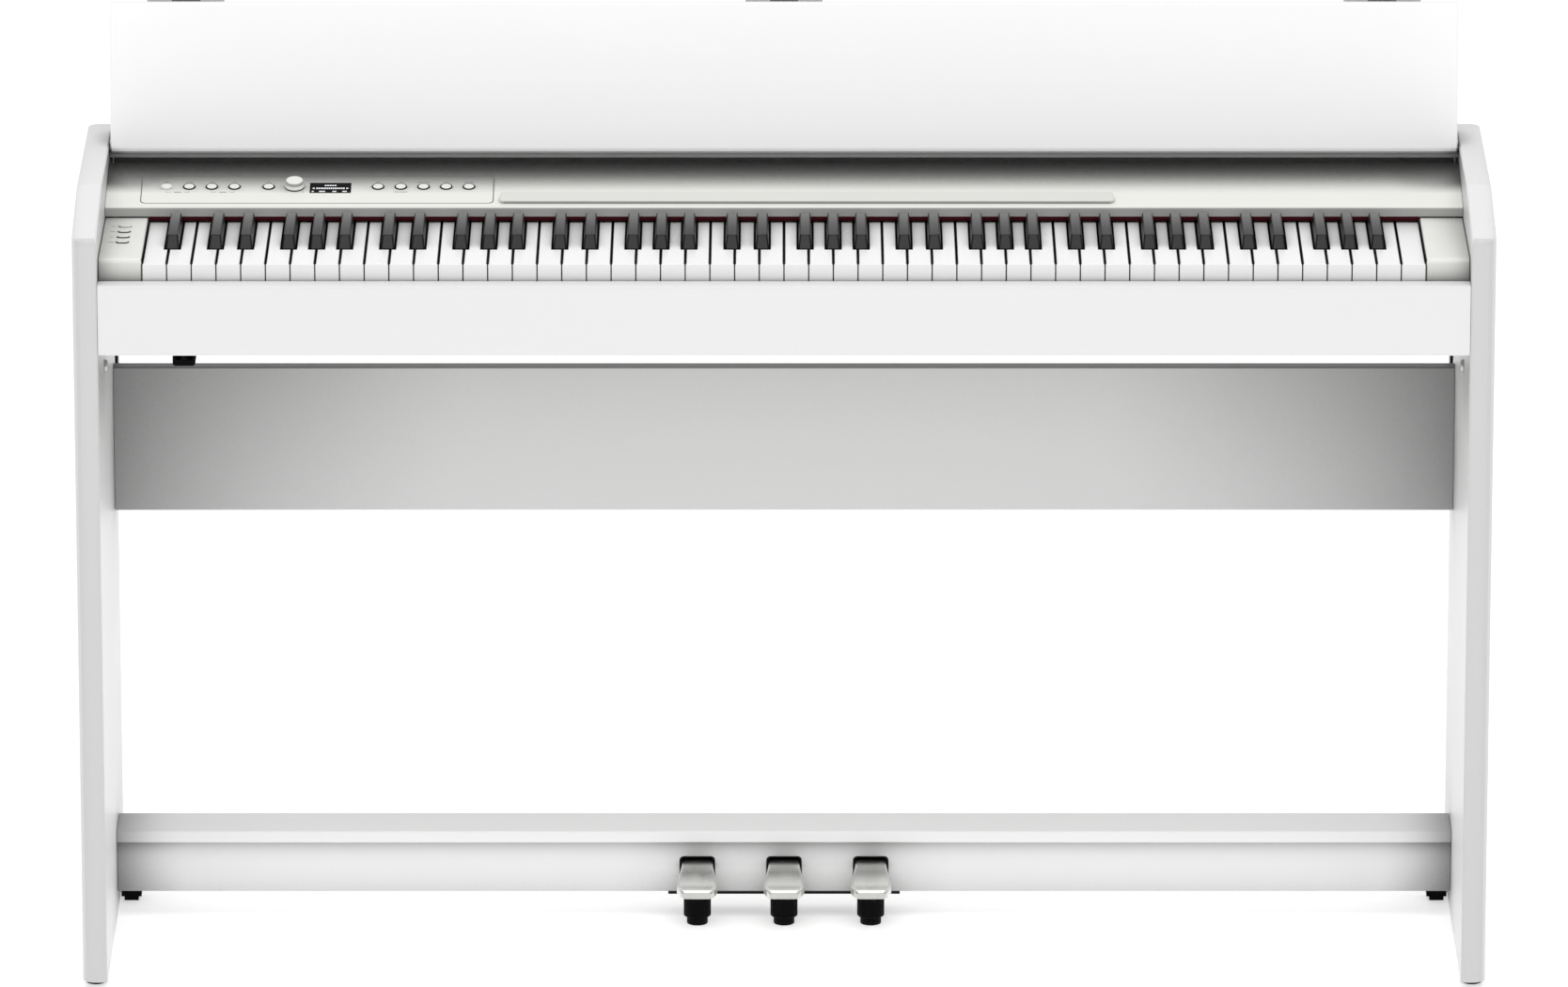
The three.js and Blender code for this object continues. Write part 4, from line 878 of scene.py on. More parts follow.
# %% Stack outlines into shapes
def stacked(layers, ring=False):
    """Points and faces through layers (outline, height), closed at both ends or into a ring."""
    count = len(layers[0][0])
    points = [(x, y, height) for outline, height in layers for x, y in outline]
    steps = [(index, index + 1) for index in range(len(layers) - 1)]
    if ring:
        steps.append((len(layers) - 1, 0))
    faces = []
    for low, high in steps:
        below, above = low * count, high * count
        for here in range(count):
            after = (here + 1) % count
            faces.append((below + here, below + after, above + after, above + here))
    if not ring:
        faces += [tuple(range(count)), tuple(range(len(points) - count, len(points)))]
    return points, faces


def turned(profile, sides=48, ribs=0.0, ring=False):
    """A body turned about z through (radius, height) pairs."""
    return stacked([(circle(radius, sides, ribs), height) for radius, height in profile], ring)


def slab(outline, low, high):
    return stacked([(outline, low), (outline, high)])


def swept(stations):
    """Points and faces of a closed bar through its stations, which are rings of points."""
    ring = len(stations[0])
    points = [point for station in stations for point in station]
    faces = [tuple(range(ring)), tuple(range(len(points) - ring, len(points)))]
    for first in range(0, len(points) - ring, ring):
        for step in range(ring):
            after = (step + 1) % ring
            faces.append((first + step, first + after, first + ring + after, first + ring + step))
    return points, faces


# %% [markdown]
# ## Helpers for placing shapes
# A shape is placed by a matrix that also turns millimetres into metres. Many small shapes on one
# body, such as its screws, are merged into one object.

# %% Place and merge shapes
MILLIMETRE = 0.001
TO_METRES = Matrix.Scale(MILLIMETRE, 4)


def at(x, y, z, turn=Matrix.Identity(4)):
    """Matrix for a shape in millimetres that stands at (x, y, z) millimetres of the piano."""
    return Matrix.Translation(Vector((x, y, z)) * MILLIMETRE) @ turn @ TO_METRES


def middle(name):
    """Where the middle of a solid lies, across the piano and towards the wall, in millimetres."""
    low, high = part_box(name)
    return 500 * (low.x + high.x), 500 * (low.y + high.y)


def looking(axis, degrees):
    """A turn about one axis, for shapes that do not look up."""
    return Matrix.Rotation(math.radians(degrees), 4, axis)


def merged(placings):
    """One list of points and faces from (shape, matrix) pairs."""
    points, faces = [], []
    for (shape_points, shape_faces), matrix in placings:
        first = len(points)
        points += [matrix @ Vector(point) for point in shape_points]
        faces += [tuple(first + corner for corner in face) for face in shape_faces]
    return points, faces


def add_piece(name, placings, finish, body, replaced=()):
    """Makes the object, hides the solids it stands for and ties it to its body."""
    piece = mesh_object(name, *merged(placings), finish)
    if replaced:
        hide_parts(*replaced)
    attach(piece, body)
    print("piece", name, "on", body, "with", len(piece.data.polygons), "faces")


# %% [markdown]
# ## The felt strip
# The solid felt is a plain bar. The real strip is cut from soft stock, so its front edges are round
# and its face waves a little. It is swept along x through many stations, each with a seeded offset.

# %% The felt strip
FELT_PITCH, FELT_SEED = 0.004, 7


def felt_stations(low, high):
    """Cross-sections of the strip along x, in metres."""
    chance = random.Random(FELT_SEED)
    corner = 0.0009
    steps = round((high.x - low.x) / FELT_PITCH)
    for index in range(steps + 1):
        x = low.x + (high.x - low.x) * index / steps
        front = low.y + chance.uniform(0.0, 0.00025)
        lower = low.z + chance.uniform(0.0, 0.00015)
        yield [
            (x, front + corner, lower),
            (x, front + corner / 3, lower + corner / 3),
            (x, front, lower + corner),
            (x, front, high.z - corner),
            (x, front + corner / 3, high.z - corner / 3),
            (x, front + corner, high.z),
            (x, high.y, high.z),
            (x, high.y, lower),
        ]


felt_low, felt_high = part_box("felt_strip")
felt_shape = swept(list(felt_stations(felt_low, felt_high)))
felt = [(felt_shape, Matrix.Identity(4))]
add_piece("key_felt", felt, felt_red, "cabinet", ["felt_strip"])

# %% [markdown]
# ## The control panel's slope
# Buttons, dial, display and print all lie on one sloping plane. Its matrix lets them be drawn flat:
# x across, y up the slope, z out of it. The buttons' places are read from their solids.

# %% Places on the slope
SLOPE_FOOT = 0.7416
BUTTON_ROW, DIAL_ROW = 41.2, 40.4
panel_low, panel_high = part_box("control_panel")
slope_front = Vector((0.0, panel_low.y, SLOPE_FOOT))
slope_angle = math.atan2(panel_high.z - slope_front.z, panel_high.y - slope_front.y)
SLOPE = Matrix.Translation(slope_front) @ Matrix.Rotation(slope_angle, 4, "X")


def on_slope(x, y=BUTTON_ROW):
    return SLOPE @ at(x, y, 0.0)


dial_x = middle("dial")[0]
dial_place = on_slope(dial_x, DIAL_ROW)
slope_buttons = {name: middle(name)[0] for name in sorted(nodes) if name.startswith("button_")}
print("buttons at", {name: round(x, 1) for name, x in slope_buttons.items()})

# %% [markdown]
# ## The round buttons
# The solid buttons have few sides. Here each is a pale, barely hollow face let into the top of a low
# black drum; the drum stands for the shade in the gap round the button, a painted shade, which is why
# each shows as a pale disc in a dark ring. Face and drum are turned anew in the same place and ride
# the same body. The power button is pale all over, as is the rearmost of the four on the cheek block.

# %% The round buttons
FACE_PROFILE = [
    (4.8, -1.0), (4.8, 0.72), (4.65, 0.82), (4.3, 0.85), (3.6, 0.80), (2.2, 0.75), (0.6, 0.73),
]
DRUM_PROFILE = [
    (4.85, -6.9), (5.35, -6.9), (5.35, 0.5), (5.3, 0.62), (5.2, 0.7), (5.0, 0.72), (4.85, 0.6),
]


def add_button(name, face, drum, place, face_finish, pale):
    """A pale face, standing for the solid, and its drum, both on the button's body; a black drum is
    painted shade.
    """
    add_piece(name + "_face", [(face, place)], face_finish, name, [name])
    if pale:
        add_piece(name + "_drum", [(drum, place)], face_finish, name)
    else:
        # painted shade: the black drum stands for the shade in the gap round the button
        add_piece(name + "_drum", [(drum, place)], black_plastic, name)


round_face, round_drum = turned(FACE_PROFILE), turned(DRUM_PROFILE, ring=True)
for name, x in slope_buttons.items():
    add_button(name, round_face, round_drum, on_slope(x), button_grey_shaded, name == "button_power")

# %% [markdown]
# ## The dial
# The dial is a flared skirt, a ribbed grip and a pale cap. Forty fine ribs round the grip hold
# shadow, so it gets its own darker finish, a painted shade. The skirt floats a little over the plate.

# %% The dial
DIAL_SKIRT = [
    (3.0, -7.0), (3.0, 1.1), (9.1, 1.1), (9.3, 1.3), (9.25, 1.7), (8.9, 2.4), (8.45, 3.4),
    (8.25, 4.2), (7.6, 4.25),
]
DIAL_CAP = [
    (7.0, 7.35), (8.1, 7.35), (8.05, 7.7), (7.8, 8.0), (7.4, 8.15), (7.0, 8.2), (6.4, 8.12),
    (3.0, 8.0), (0.6, 8.0),
]
DIAL_GRIP = [(6.9, 4.1), (8.12, 4.2), (8.12, 7.4), (6.9, 7.5)]
DIAL_SIDES = 80
GRIP_SIDES, RIB_DEPTH = 160, 0.08
dial_pale = [(turned(profile, DIAL_SIDES), dial_place) for profile in (DIAL_SKIRT, DIAL_CAP)]
add_piece("dial_knob", dial_pale, button_grey_shaded, "dial", ["dial"])
dial_grip = turned(DIAL_GRIP, GRIP_SIDES, RIB_DEPTH, ring=True)
add_piece("dial_grip", [(dial_grip, dial_place)], grip_grey_shaded, "dial")

# %% [markdown]
# ## The cheek buttons
# The four buttons on the left cheek block are ovals, built like the round ones. Smaller and smaller
# ovals are stacked, which keeps the rim equally round along its straight and its curved parts.

# %% The cheek buttons
CHEEK_BUTTON = (11.8, 7.6)
FACE_LEVELS = [(0.35, -1.0), (0.35, 0.8), (0.5, 0.94), (0.8, 1.0), (1.6, 0.96), (2.4, 0.94)]
DRUM_LEVELS = [(0.3, -6.9), (0.0, -6.9), (0.0, 0.6), (0.06, 0.78), (0.2, 0.86), (0.3, 0.8)]
cheek_top = 1000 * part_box("cheek_block_left")[1].z


def oval_layers(levels):
    """Cheek button outlines, each drawn in by its first number, at the height of its second."""
    length, width = CHEEK_BUTTON
    return [(oval(length - 2 * inset, width - 2 * inset), height) for inset, height in levels]


def cheek_place(name, aside=0.0):
    x, y = middle(name)
    return at(x + aside, y, cheek_top)


cheek_buttons = [name for name in sorted(nodes) if name.startswith("cheek_button_")]
oval_face, oval_drum = stacked(oval_layers(FACE_LEVELS)), stacked(oval_layers(DRUM_LEVELS), ring=True)
for name in cheek_buttons:
    add_button(name, oval_face, oval_drum, cheek_place(name), cheek_grey_shaded, name == cheek_buttons[-1])

# %% [markdown]
# ## Collars
# Buttons and dial sit in dark rings, which stand for the shade in the gap round each, a painted shade;
# the power button's ring is pale and lies lower.

# %% Rings round the buttons and the dial, the dark ones painted shade
SHADE_COLLAR = [(5.45, -1.2), (6.0, -1.2), (6.0, 0.4), (5.9, 0.52), (5.6, 0.52), (5.45, 0.4)]
PALE_COLLAR = [(5.45, -1.2), (6.15, -1.2), (6.15, -0.1), (5.45, -0.1)]
DIAL_SHADE_COLLAR = [(8.3, -0.9), (9.3, -0.9), (9.3, 0.8), (9.1, 0.95), (8.3, 0.95)]
# painted shade: dark rings in the gaps round buttons and dial
shade_collar = turned(SHADE_COLLAR, ring=True)
shade_collars = [(shade_collar, on_slope(x)) for name, x in slope_buttons.items() if name != "button_power"]
shade_collars.append((turned(DIAL_SHADE_COLLAR, DIAL_SIDES, ring=True), dial_place))
add_piece("button_shade_collars", shade_collars, black_plastic, "cabinet")
power_collar = [(turned(PALE_COLLAR, ring=True), on_slope(slope_buttons["button_power"]))]
add_piece("power_collar", power_collar, button_grey_shaded, "cabinet")

# %% [markdown]
# ## Painted shade in the plate's seam
# A thin dark ring fills the joint between the control plate and the panel, and draws the plate's
# outline: it stands for the shade in the seam, a painted shade. It is a ring between the plate's
# outline drawn in a little and the same grown a little.

# %% Painted shade in the plate's seam
PLATE_LEFT, PLATE_RIGHT, PLATE_LOWER, PLATE_UPPER = -621.8, -281.3, 7.8, 63.0
LOWER_ROUND, UPPER_ROUND = 5.0, 1.5
SEAM_SHADE_INNER, SEAM_SHADE_OUTER = -0.35, 0.65
SEAM_SHADE_FOOT, SEAM_SHADE_TOP = -0.6, 0.05


def rounded_plate(growth, corner_steps=6):
    """The control plate's outline on the slope, grown by a margin; its lower corners are rounder."""
    left, right = PLATE_LEFT - growth, PLATE_RIGHT + growth
    lower, upper = PLATE_LOWER - growth, PLATE_UPPER + growth
    corners = (
        (left + LOWER_ROUND, lower + LOWER_ROUND, LOWER_ROUND, 180),
        (right - LOWER_ROUND, lower + LOWER_ROUND, LOWER_ROUND, 270),
        (right - UPPER_ROUND, upper - UPPER_ROUND, UPPER_ROUND, 0),
        (left + UPPER_ROUND, upper - UPPER_ROUND, UPPER_ROUND, 90),
    )
    outline = []
    for x, y, round_off, start in corners:
        for step in range(corner_steps + 1):
            angle = math.radians(start + 90 * step / corner_steps)
            outline.append(swung(round_off, angle, x, y))
    return outline


inner, outer = rounded_plate(SEAM_SHADE_INNER), rounded_plate(SEAM_SHADE_OUTER)
seam_shade_layers = [(inner, SEAM_SHADE_FOOT), (outer, SEAM_SHADE_FOOT), (outer, SEAM_SHADE_TOP), (inner, SEAM_SHADE_TOP)]
seam_shade_ring = stacked(seam_shade_layers, ring=True)
add_piece("plate_seam_shade", [(seam_shade_ring, SLOPE @ TO_METRES)], seam_shade_grey, "cabinet")

# %% [markdown]
# ## Ink
# Makers print legends in thin grey ink, which is duller than the plastic under it. A finish of its
# own shows that better than a darker plastic would.

# %% Finish: printed ink
printed_ink = dressed_finish(
    "printed_ink",
    tones=(grey(0.06), grey(0.10)),
    roughness=(0.5, 0.6),
    skin={"Fineness": 5000.0, "Drift": 900.0},
    relief=0.000002,
    edge=0.0001,
)

# %% [markdown]
# ## Printed marks
# This piano keeps its legends wordless: a dash over each button but the power button, a bracket
# under buttons that work as a pair, a dash under one more, and the usual minus and plus by the dial.
# The ink is a film of a few hundredths of a millimetre, raised just clear of the plastic.

# %% Printed marks on the slope
INK = (0.01, 0.05)


def dash(x, y, length, thickness=0.7):
    return slab(rectangle(x - length / 2, x + length / 2, y - thickness / 2, y + thickness / 2), *INK)


def stroke(x, y, height, thickness=0.5):
    return slab(rectangle(x - thickness / 2, x + thickness / 2, y - height / 2, y + height / 2), *INK)


def bracket(x0, x1, y):
    """A line between two strokes, broken in the middle by a dash."""
    centre = (x0 + x1) / 2
    quarter = (x1 - x0) / 4
    return [
        stroke(x0, y, 2.2),
        stroke(x1, y, 2.2),
        dash(centre - 1.55 * quarter, y - 0.9, 0.85 * quarter, 0.4),
        dash(centre + 1.55 * quarter, y - 0.9, 0.85 * quarter, 0.4),
        dash(centre, y - 0.9, 1.3 * quarter, 1.1),
    ]


LEGEND_ROW, UNDER_ROW = 50.2, 30.8
legend_lengths = {"button_left_1": 6.5, "button_right_3": 12.0, "button_right_5": 8.5}
marks = []
for name, x in slope_buttons.items():
    if name != "button_power":
        marks.append(dash(x, LEGEND_ROW, legend_lengths.get(name, 4.5), 0.9))
marks += bracket(slope_buttons["button_power"], slope_buttons["button_left_1"], UNDER_ROW)
marks += bracket(slope_buttons["button_left_2"], slope_buttons["button_left_3"], UNDER_ROW)
marks.append(dash(slope_buttons["button_right_2"], UNDER_ROW, 13.5, 0.9))
minus_x, plus_x = dial_x - 8.0, dial_x + 8.0
marks.append(dash(minus_x, UNDER_ROW, 1.8, 0.5))
marks.append(dash(plus_x, UNDER_ROW, 1.9, 0.5))
marks.append(stroke(plus_x, UNDER_ROW, 1.9))
print("marks on the slope so far", len(marks))

# %% [markdown]
# ## The power mark
# A broken ring with a stroke through the gap is the common sign for a power switch. It is a ring of
# small slabs, open at the top.

# %% The power mark, and all print as one piece
ARC_START, ARC_SWEEP, ARC_STEPS = 125, 290, 14
LABEL_LENGTHS, LABEL_ASIDE = (6.0, 3.0, 4.6, 3.6), -11.3


def power_mark(x, y, radius=1.6):
    """A broken ring of slabs 0.4 mm wide, with a stroke through its gap."""
    inside, outside = radius - 0.2, radius + 0.2
    pieces = [stroke(x, y + 0.8 * radius, 1.3 * radius, 0.4)]
    for step in range(ARC_STEPS):
        first = math.radians(ARC_START + step * ARC_SWEEP / ARC_STEPS)
        last = math.radians(ARC_START + (step + 1) * ARC_SWEEP / ARC_STEPS)
        corners = ((inside, first), (outside, first), (outside, last), (inside, last))
        pieces.append(slab([swung(reach, angle, x, y) for reach, angle in corners], *INK))
    return pieces


marks += power_mark(slope_buttons["button_power"], LEGEND_ROW)
ink_placings = [(mark, SLOPE @ TO_METRES) for mark in marks]
for name, length in zip(cheek_buttons, LABEL_LENGTHS):
    ink_placings.append((dash(0.0, 0.0, length, 1.2), cheek_place(name, LABEL_ASIDE)))
add_piece("printed_marks", ink_placings, printed_ink, "cabinet")

# %% [markdown]
# ## Glowing signs
# The signs of the display glow softly, in a slightly cold white. Emission on their finish does it
# without a lamp behind the glass.

# %% Finish: lit marks
lit_marks = dressed_finish(
    "lit_marks",
    tones=(grey(0.55), grey(0.65)),
    roughness=(0.4, 0.5),
    skin={"Fineness": 3000.0, "Drift": 700.0},
    relief=0.000002,
    edge=0.0001,
    Emission_Color=(0.9, 0.95, 1.0, 1.0),
    Emission_Strength=0.45,
)

# %% [markdown]
# ## The lit display
# The display shows wordless signs: a row of small blocks between two arrowheads, a shorter row
# above it and four bars below. They are thin slabs on the glass.

# %% The lit display
glass_low, glass_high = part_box("display_window")
glass_left, glass_width = 1000 * glass_low.x, 1000 * (glass_high.x - glass_low.x)
GLASS_BOTTOM, GLASS_HEIGHT = 28.8, 20.4
LEVEL_ROW, UPPER_ROW, FUNCTION_ROW = 0.46, 0.74, 0.15
FUNCTION_BARS = ((0.07, 0.05), (0.30, 0.15), (0.60, 0.10), (0.85, 0.11))    # middle and width


def on_glass(x_share, y_share):
    """The point at these shares of the glass's width and height."""
    return glass_left + x_share * glass_width, GLASS_BOTTOM + y_share * GLASS_HEIGHT


def glass_bar(x_share, y_share, width_share, height):
    x, y = on_glass(x_share, y_share)
    half = width_share * glass_width / 2
    return slab(rectangle(x - half, x + half, y - height / 2, y + height / 2), *INK)


def arrowhead(x_share, y_share, way):
    x, y = on_glass(x_share, y_share)
    return slab([(x - 1.2 * way, y - 1.6), (x + 1.2 * way, y), (x - 1.2 * way, y + 1.6)], *INK)


lit = [arrowhead(0.08, LEVEL_ROW, -1.0), arrowhead(0.92, LEVEL_ROW, 1.0)]
lit += [glass_bar(0.17 + 0.66 * step / 13, LEVEL_ROW, 0.034, 2.8) for step in range(14)]
lit += [glass_bar(0.38 + 0.06 * step, UPPER_ROW, 0.042, 2.2) for step in range(5)]
lit += [glass_bar(x_share, FUNCTION_ROW, width, 1.8) for x_share, width in FUNCTION_BARS]
lit_placings = [(mark, SLOPE @ TO_METRES) for mark in lit]
add_piece("display_marks", lit_placings, lit_marks, "cabinet")

# %% [markdown]
# ## Painted shade beside the keyboard
# Each cheek block gets a black sheet on its face towards the keys: painted shade, which makes the gap
# beside the outermost key look deep. The sheet is thin and stops short of the key.

# %% Painted shade beside the keyboard
SHADE_SHEET_THICKNESS, SHADE_SHEET_FRONT, SHADE_SHEET_TOP = 0.4, 1.2, 0.9


def shade_sheet(side):
    """A thin black sheet of painted shade on a cheek block's inner face, set back from the block's
    front and top.
    """
    low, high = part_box("cheek_block_left" if side < 0 else "cheek_block_right")
    face = 1000 * (high.x if side < 0 else -low.x)
    near, far = abs(face), abs(face + SHADE_SHEET_THICKNESS)
    outline = rectangle(side * far, side * near, 1000 * low.y + SHADE_SHEET_FRONT, 1000 * high.y)
    return slab(outline, 1000 * low.z, 1000 * high.z - SHADE_SHEET_TOP)


shade_sheets = [(shade_sheet(side), TO_METRES) for side in (-1, 1)]
add_piece("cheek_shade_sheets", shade_sheets, black_plastic, "cabinet")

# %% [markdown]
# ## Screws and bolts
# A cross-head screw is a low dome with a pressed cross. A fine polar net gives both: the height of
# each point follows the dome, and drops inside the cross. The bolts are turned, and their socket is
# a six-sided outline with as many points as the circle round it, so that the layers still match.

# %% Shapes of a screw and a bolt
SUNK = 0.4


def screw_head(radius, rise, sides=40, rings=10):
    """A domed head with a pressed cross, standing on z = 0 and sunk a little below it."""
    def height(x, y):
        in_cross = min(abs(x), abs(y)) < 0.14 * radius and max(abs(x), abs(y)) < 0.60 * radius
        reach = math.hypot(x, y) / radius
        return rise * (1.0 - reach ** 4) - (0.9 * rise if in_cross else 0.0)

    layers = []
    for ring in range(rings, 0, -1):
        outline = circle(radius * ring / rings, sides)
        layers.append([(x, y, height(x, y)) for x, y in outline])
    layers.insert(0, [(x, y, -SUNK) for x, y in circle(radius, sides)])
    return swept(layers)


def six_sided(across, sides=48):
    """A hexagon given by as many points as a circle."""
    outline = []
    for step in range(sides):
        angle = 2 * math.pi * (step + 0.5) / sides
        reach = across / 2 / math.cos(angle % (math.pi / 3) - math.pi / 6)
        outline.append(swung(reach, angle))
    return outline


BOLT_PROFILE = [
    (6.6, -0.3), (6.6, 0.5), (6.2, 0.9), (5.9, 1.0), (5.8, 2.0), (5.2, 3.0), (4.4, 3.5), (3.7, 3.6),
]
bolt_layers = [(circle(radius), height) for radius, height in BOLT_PROFILE]
bolt = stacked(bolt_layers + [(six_sided(5.6), 3.4), (six_sided(5.2), 0.8)])
print("bolt with", len(bolt[1]), "faces")

# %% [markdown]
# ## Bolts on the side panels
# One large bolt on the inside of each side panel pulls the key bed tight. Its head looks across the
# knee space, so it is turned to lie on the panel's inner face.

# %% Bolts on the side panels
side_inner = 1000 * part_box("side_panel_right")[0].x
BOLT_Y, BOLT_Z = -53.5, 597.0
bolts = [
    (bolt, at(-side_inner, BOLT_Y, BOLT_Z, looking("Y", 90))),
    (bolt, at(side_inner, BOLT_Y, BOLT_Z, looking("Y", -90))),
]
add_piece("side_bolts", bolts, hardware_steel, "cabinet")

# %% [markdown]
# ## Brackets behind the rear board
# A black steel strap on each side ties the back cover to the side panel. It lies flat on the
# panel's inner face, and a sliver of it shows over the rear board.

# %% Brackets behind the rear board
STRAP_THICKNESS, STRAP_DEPTH = 2.5, 24.0
STRAP_LOW, STRAP_HIGH = 524.0, 639.5
STRAP_GAP, STRAP_OVERLAP = 0.1, 4.0
strap_outside = side_inner - STRAP_GAP
strap_inside = strap_outside - STRAP_THICKNESS
strap_rear = 1000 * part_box("back_cover")[0].y + STRAP_OVERLAP
straps = []
for side in (-1, 1):
    left, right = sorted((side * strap_outside, side * strap_inside))
    outline = rectangle(left, right, strap_rear - STRAP_DEPTH, strap_rear)
    straps.append((slab(outline, STRAP_LOW, STRAP_HIGH), TO_METRES))
add_piece("rear_brackets", straps, black_steel, "cabinet")

# %% [markdown]
# ## Screws of the back cover
# The back cover is screwed on along its upper and lower edge. The heads look to the wall.

# %% Screws of the back cover
SCREW_ROWS = (650.0, 752.0)
SCREW_START, SCREW_PITCH, SCREWS_IN_ROW = -636, 159, 9
cover_rear = 1000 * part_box("back_cover")[1].y
cover_screw = screw_head(3.6, 0.9)
cover_screws = []
for z in SCREW_ROWS:
    for step in range(SCREWS_IN_ROW):
        x = SCREW_START + SCREW_PITCH * step
        cover_screws.append((cover_screw, at(x, cover_rear, z, looking("X", -90))))
add_piece("cover_screws", cover_screws, hardware_steel, "cabinet")

# %% [markdown]
# ## Screws of the fold hinges
# Each hinge leaf is held by countersunk screws, four on the panel's half and two on the flap's. The
# screws of each half ride on its own leaf of the lid, so they part when the flap unfolds.

# %% Screws of the fold hinges
HINGE_PLACES = (-581.0, 0.0, 581.0)
SCREW_FOOT = -0.25
PANEL_OFFSETS = [(-31, 9), (-18, 17), (18, 17), (31, 9)]
FLAP_OFFSETS = [(-8, 13), (8, 13)]
hinge_screw = screw_head(2.6, 0.35)


def leaf_frame(side):
    """Matrix at the fold line: x along it, y down the leaf, z out of the leaf's hinge side."""
    down = -Vector(UP_LEAF)
    out = Vector((0.0, side * math.cos(LEAN), -side * math.sin(LEAN)))
    along = down.cross(out)
    turn = Matrix((along, down, out)).transposed().to_4x4()
    return Matrix.Translation(FOLD_LINE) @ turn @ TO_METRES


def leaf_screws(side, offsets):
    """Screws on one side's leaves; the steel's face lies 0.2 mm under the fold line, so the screws
    start just inside it."""
    placings = []
    for hinge in HINGE_PLACES:
        for across, down in offsets:
            place = Matrix.Translation((side * (hinge + across), down, SCREW_FOOT))
            placings.append((hinge_screw, leaf_frame(side) @ place))
    return placings


panel_screws, flap_screws = leaf_screws(1, PANEL_OFFSETS), leaf_screws(-1, FLAP_OFFSETS)
add_piece("panel_hinge_screws", panel_screws, hardware_steel, "lid_panel")
add_piece("flap_hinge_screws", flap_screws, hardware_steel, "lid_flap")

# %% [markdown]
# ## Speakers
# The speakers look down through the key bed. Seen from below, a speaker is a flange, a half-round
# rubber surround, a shallow cone and a dome over the coil. One turned profile makes them all, and
# four screws hold the flange.

# %% Speakers
SPEAKER_PROFILE = [
    (0.8, 42.0), (26.6, 42.0), (27.0, 41.6), (27.0, 21.4), (28.4, 20.2), (49.4, 3.3), (50.2, 3.0),
    (57.5, 3.0), (58.0, 2.6), (58.0, 0.5), (57.5, 0.0), (51.4, 0.0), (50.9, 0.5), (50.4, 1.8),
    (49.2, 2.3), (48.2, 1.3), (47.0, 0.6), (45.6, 0.3), (44.2, 0.6), (43.0, 1.3), (42.0, 2.6),
    (41.2, 3.4), (40.4, 3.5), (30.0, 8.2), (20.0, 12.2), (14.4, 14.0), (13.6, 13.9), (13.2, 13.2),
    (12.0, 12.1), (9.5, 11.1), (6.0, 10.6), (2.5, 10.5), (0.8, 10.5),
]
SCREW_CIRCLE = 54.4
flange_screw = screw_head(2.4, 0.7)
speaker = turned(SPEAKER_PROFILE, 96)
for name in ("speaker_left", "speaker_right"):
    x, y = middle(name)
    bottom = 1000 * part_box(name)[0].z
    cone = [(speaker, at(x, y, bottom))]
    add_piece(name + "_cone", cone, black_plastic, "cabinet", [name])
    heads = []
    for quarter in range(4):
        head_x, head_y = swung(SCREW_CIRCLE, math.pi * (quarter + 0.5) / 2, x, y)
        heads.append((flange_screw, at(head_x, head_y, bottom, looking("X", 180))))
    add_piece(name + "_screws", heads, hardware_steel, "cabinet")

# %% [markdown]
# ## Rings of the headphone sockets
# Each socket has a black plastic nut round its hole. It is turned, and looks towards the player.

# %% Rings of the headphone sockets
SOCKET_NUT = [(3.3, -0.3), (4.6, -0.3), (4.6, 0.5), (4.3, 0.8), (3.6, 0.8), (3.3, 0.4)]
SOCKET_OFFSETS, SOCKET_DROP = (-5.5, 5.5), 9.0
box_low, box_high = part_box("headphone_box")
box_front, socket_z = 1000 * box_low.y, 1000 * box_high.z - SOCKET_DROP
socket_ring = turned(SOCKET_NUT, 40, ring=True)
rings = []
for offset in SOCKET_OFFSETS:
    place = at(middle("headphone_box")[0] + offset, box_front, socket_z, looking("X", 90))
    rings.append((socket_ring, place))
add_piece("socket_rings", rings, black_plastic, "cabinet")

# %% [markdown]
# ## Feet
# The side panels stand on turned glides. Under the pedals, three feet screw down to the floor; a
# ribbed sleeve over each is what the hand turns, with a smooth pad under it.

# %% Feet
GLIDE = [(9.4, 0.0), (10.0, 0.5), (10.0, 3.1), (9.4, 3.9), (6.4, 4.3), (5.9, 4.8), (5.9, 8.65)]
SLEEVE = [(12.9, 8.1), (13.4, 8.5), (13.4, 25.6), (13.0, 26.4), (12.6, 26.9)]
PAD = [(9.9, 0.02), (10.3, 0.5), (10.3, 8.2)]
ADJUSTER_Y = 38.5
for name in ("front_foot_left", "front_foot_right"):
    glide = [(turned(GLIDE), at(*middle(name), 0.0))]
    add_piece(name + "_glide", glide, black_plastic, "cabinet", [name])

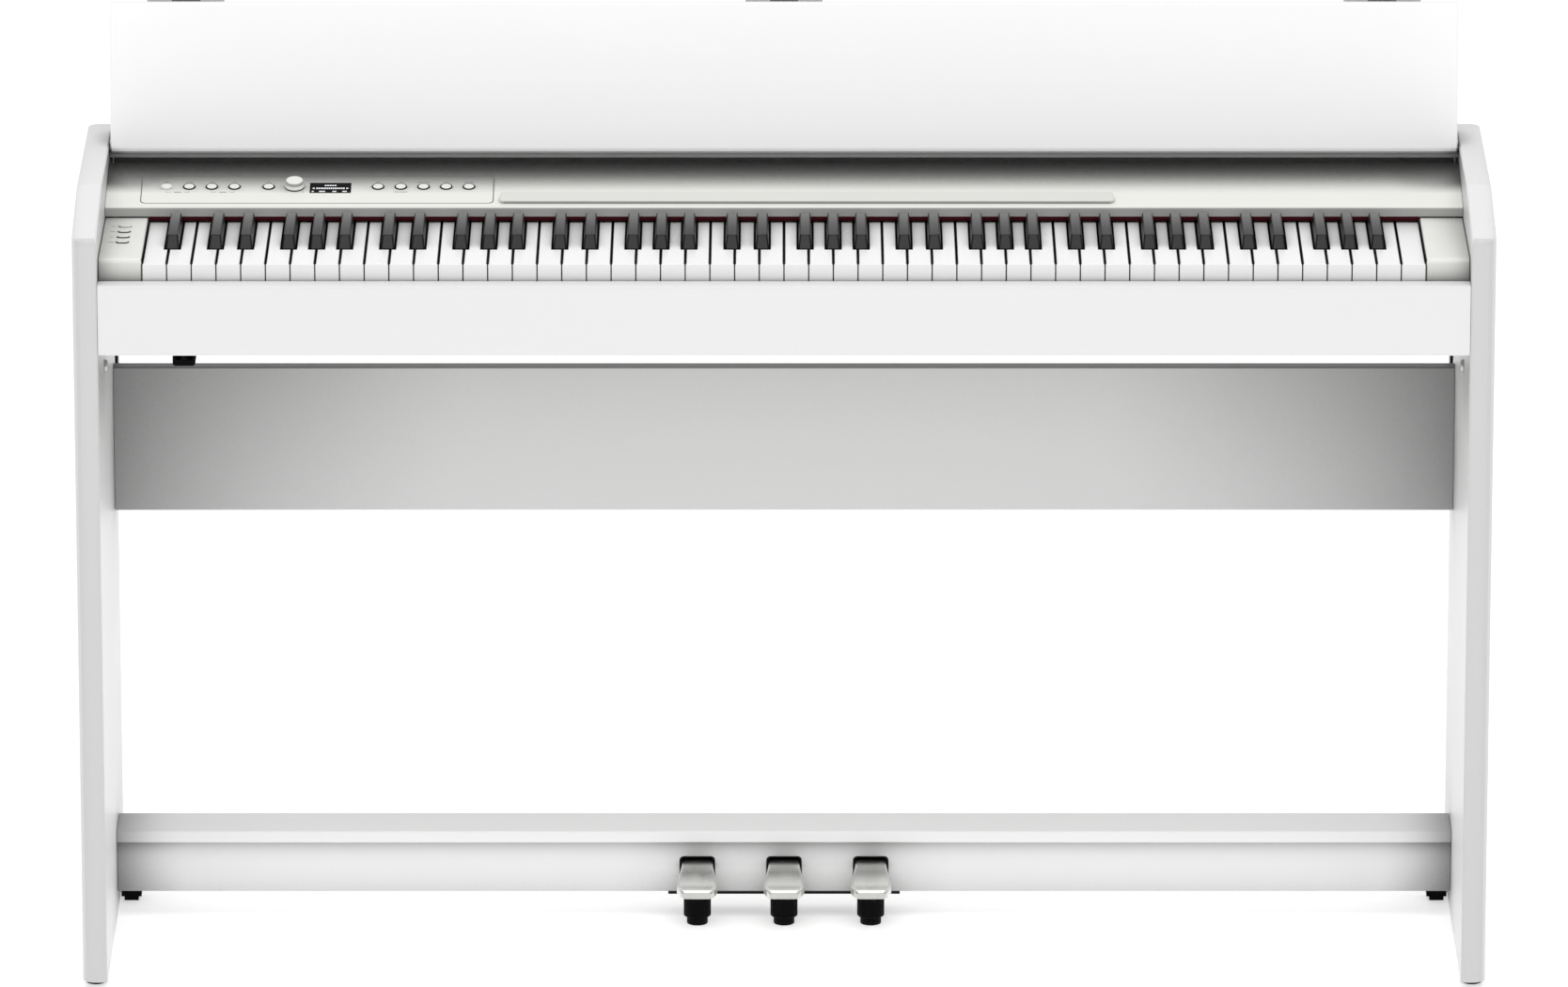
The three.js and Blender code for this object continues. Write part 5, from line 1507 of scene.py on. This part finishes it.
sleeve, pad = turned(SLEEVE, 96, 0.35), turned(PAD, 64)
adjusters = []
for name in ("pedal_left", "pedal_middle", "pedal_right"):
    place = at(middle(name)[0], ADJUSTER_Y, 0.0)
    adjusters += [(sleeve, place), (pad, place)]
add_piece("adjuster_sleeves", adjusters, black_plastic, "cabinet")

# %% [markdown]
# ## The studio floor
# A plain pale floor carries the piano and throws light back up under the key bed. It is a large
# mesh with a faint drift of tone.

# %% The floor
FLOOR_HALF = 45.0
floor_finish = dressed_finish(
    "floor_finish",
    tones=(grey(0.93), grey(0.95)),
    roughness=(0.7, 0.8),
    skin={"Fineness": 40.0, "Drift": 0.6},
    relief=0.0001,
    dust=0.0,
    Emission_Color=(1.0, 1.0, 1.0, 1.0),
    Emission_Strength=0.45,
)
floor = mesh_object(
    "floor",
    [(sx * FLOOR_HALF, sy * FLOOR_HALF, 0.0) for sx, sy in ((-1, -1), (1, -1), (1, 1), (-1, 1))],
    [(0, 1, 2, 3)],
    floor_finish,
)
print("floor", 2 * FLOOR_HALF, "m wide")

# %% [markdown]
# ## The studio light
# White boards need light that tells their faces apart: most from a wide soft box high in front, a
# little from one overhead and behind, so that the standing lid shades the panel at its foot, and an
# even sky that fills the rest.

# %% The lights
def soft_box(name, place, aim, size, power):
    """A rectangular area light at `place`, turned towards `aim`."""
    data = bpy.data.lights.new(name, "AREA")
    data.shape = "RECTANGLE"
    data.size, data.size_y = size
    data.energy = power
    lamp = bpy.data.objects.new(name, data)
    lamp.location = place
    lamp.rotation_euler = (Vector(aim) - Vector(place)).to_track_quat("-Z", "Y").to_euler()
    bpy.context.scene.collection.objects.link(lamp)
    print("light", name, power, "W")


SKY_STRENGTH = 0.60
soft_box("overhead_box", (0.0, 1.2, 3.4), (0.0, 0.0, 0.6), (5.0, 2.5), 25.0)
soft_box("high_front_box", (0.0, -2.4, 4.0), (0.0, 0.0, 0.6), (5.0, 2.0), 85.0)
world = bpy.data.worlds.new("studio_sky")
bpy.context.scene.world = world
world.use_nodes = True
sky = world.node_tree.nodes["Background"]
sky.inputs["Color"].default_value = (1.0, 1.0, 1.0, 1.0)
sky.inputs["Strength"].default_value = SKY_STRENGTH
bpy.context.scene.view_settings.view_transform = "Standard"
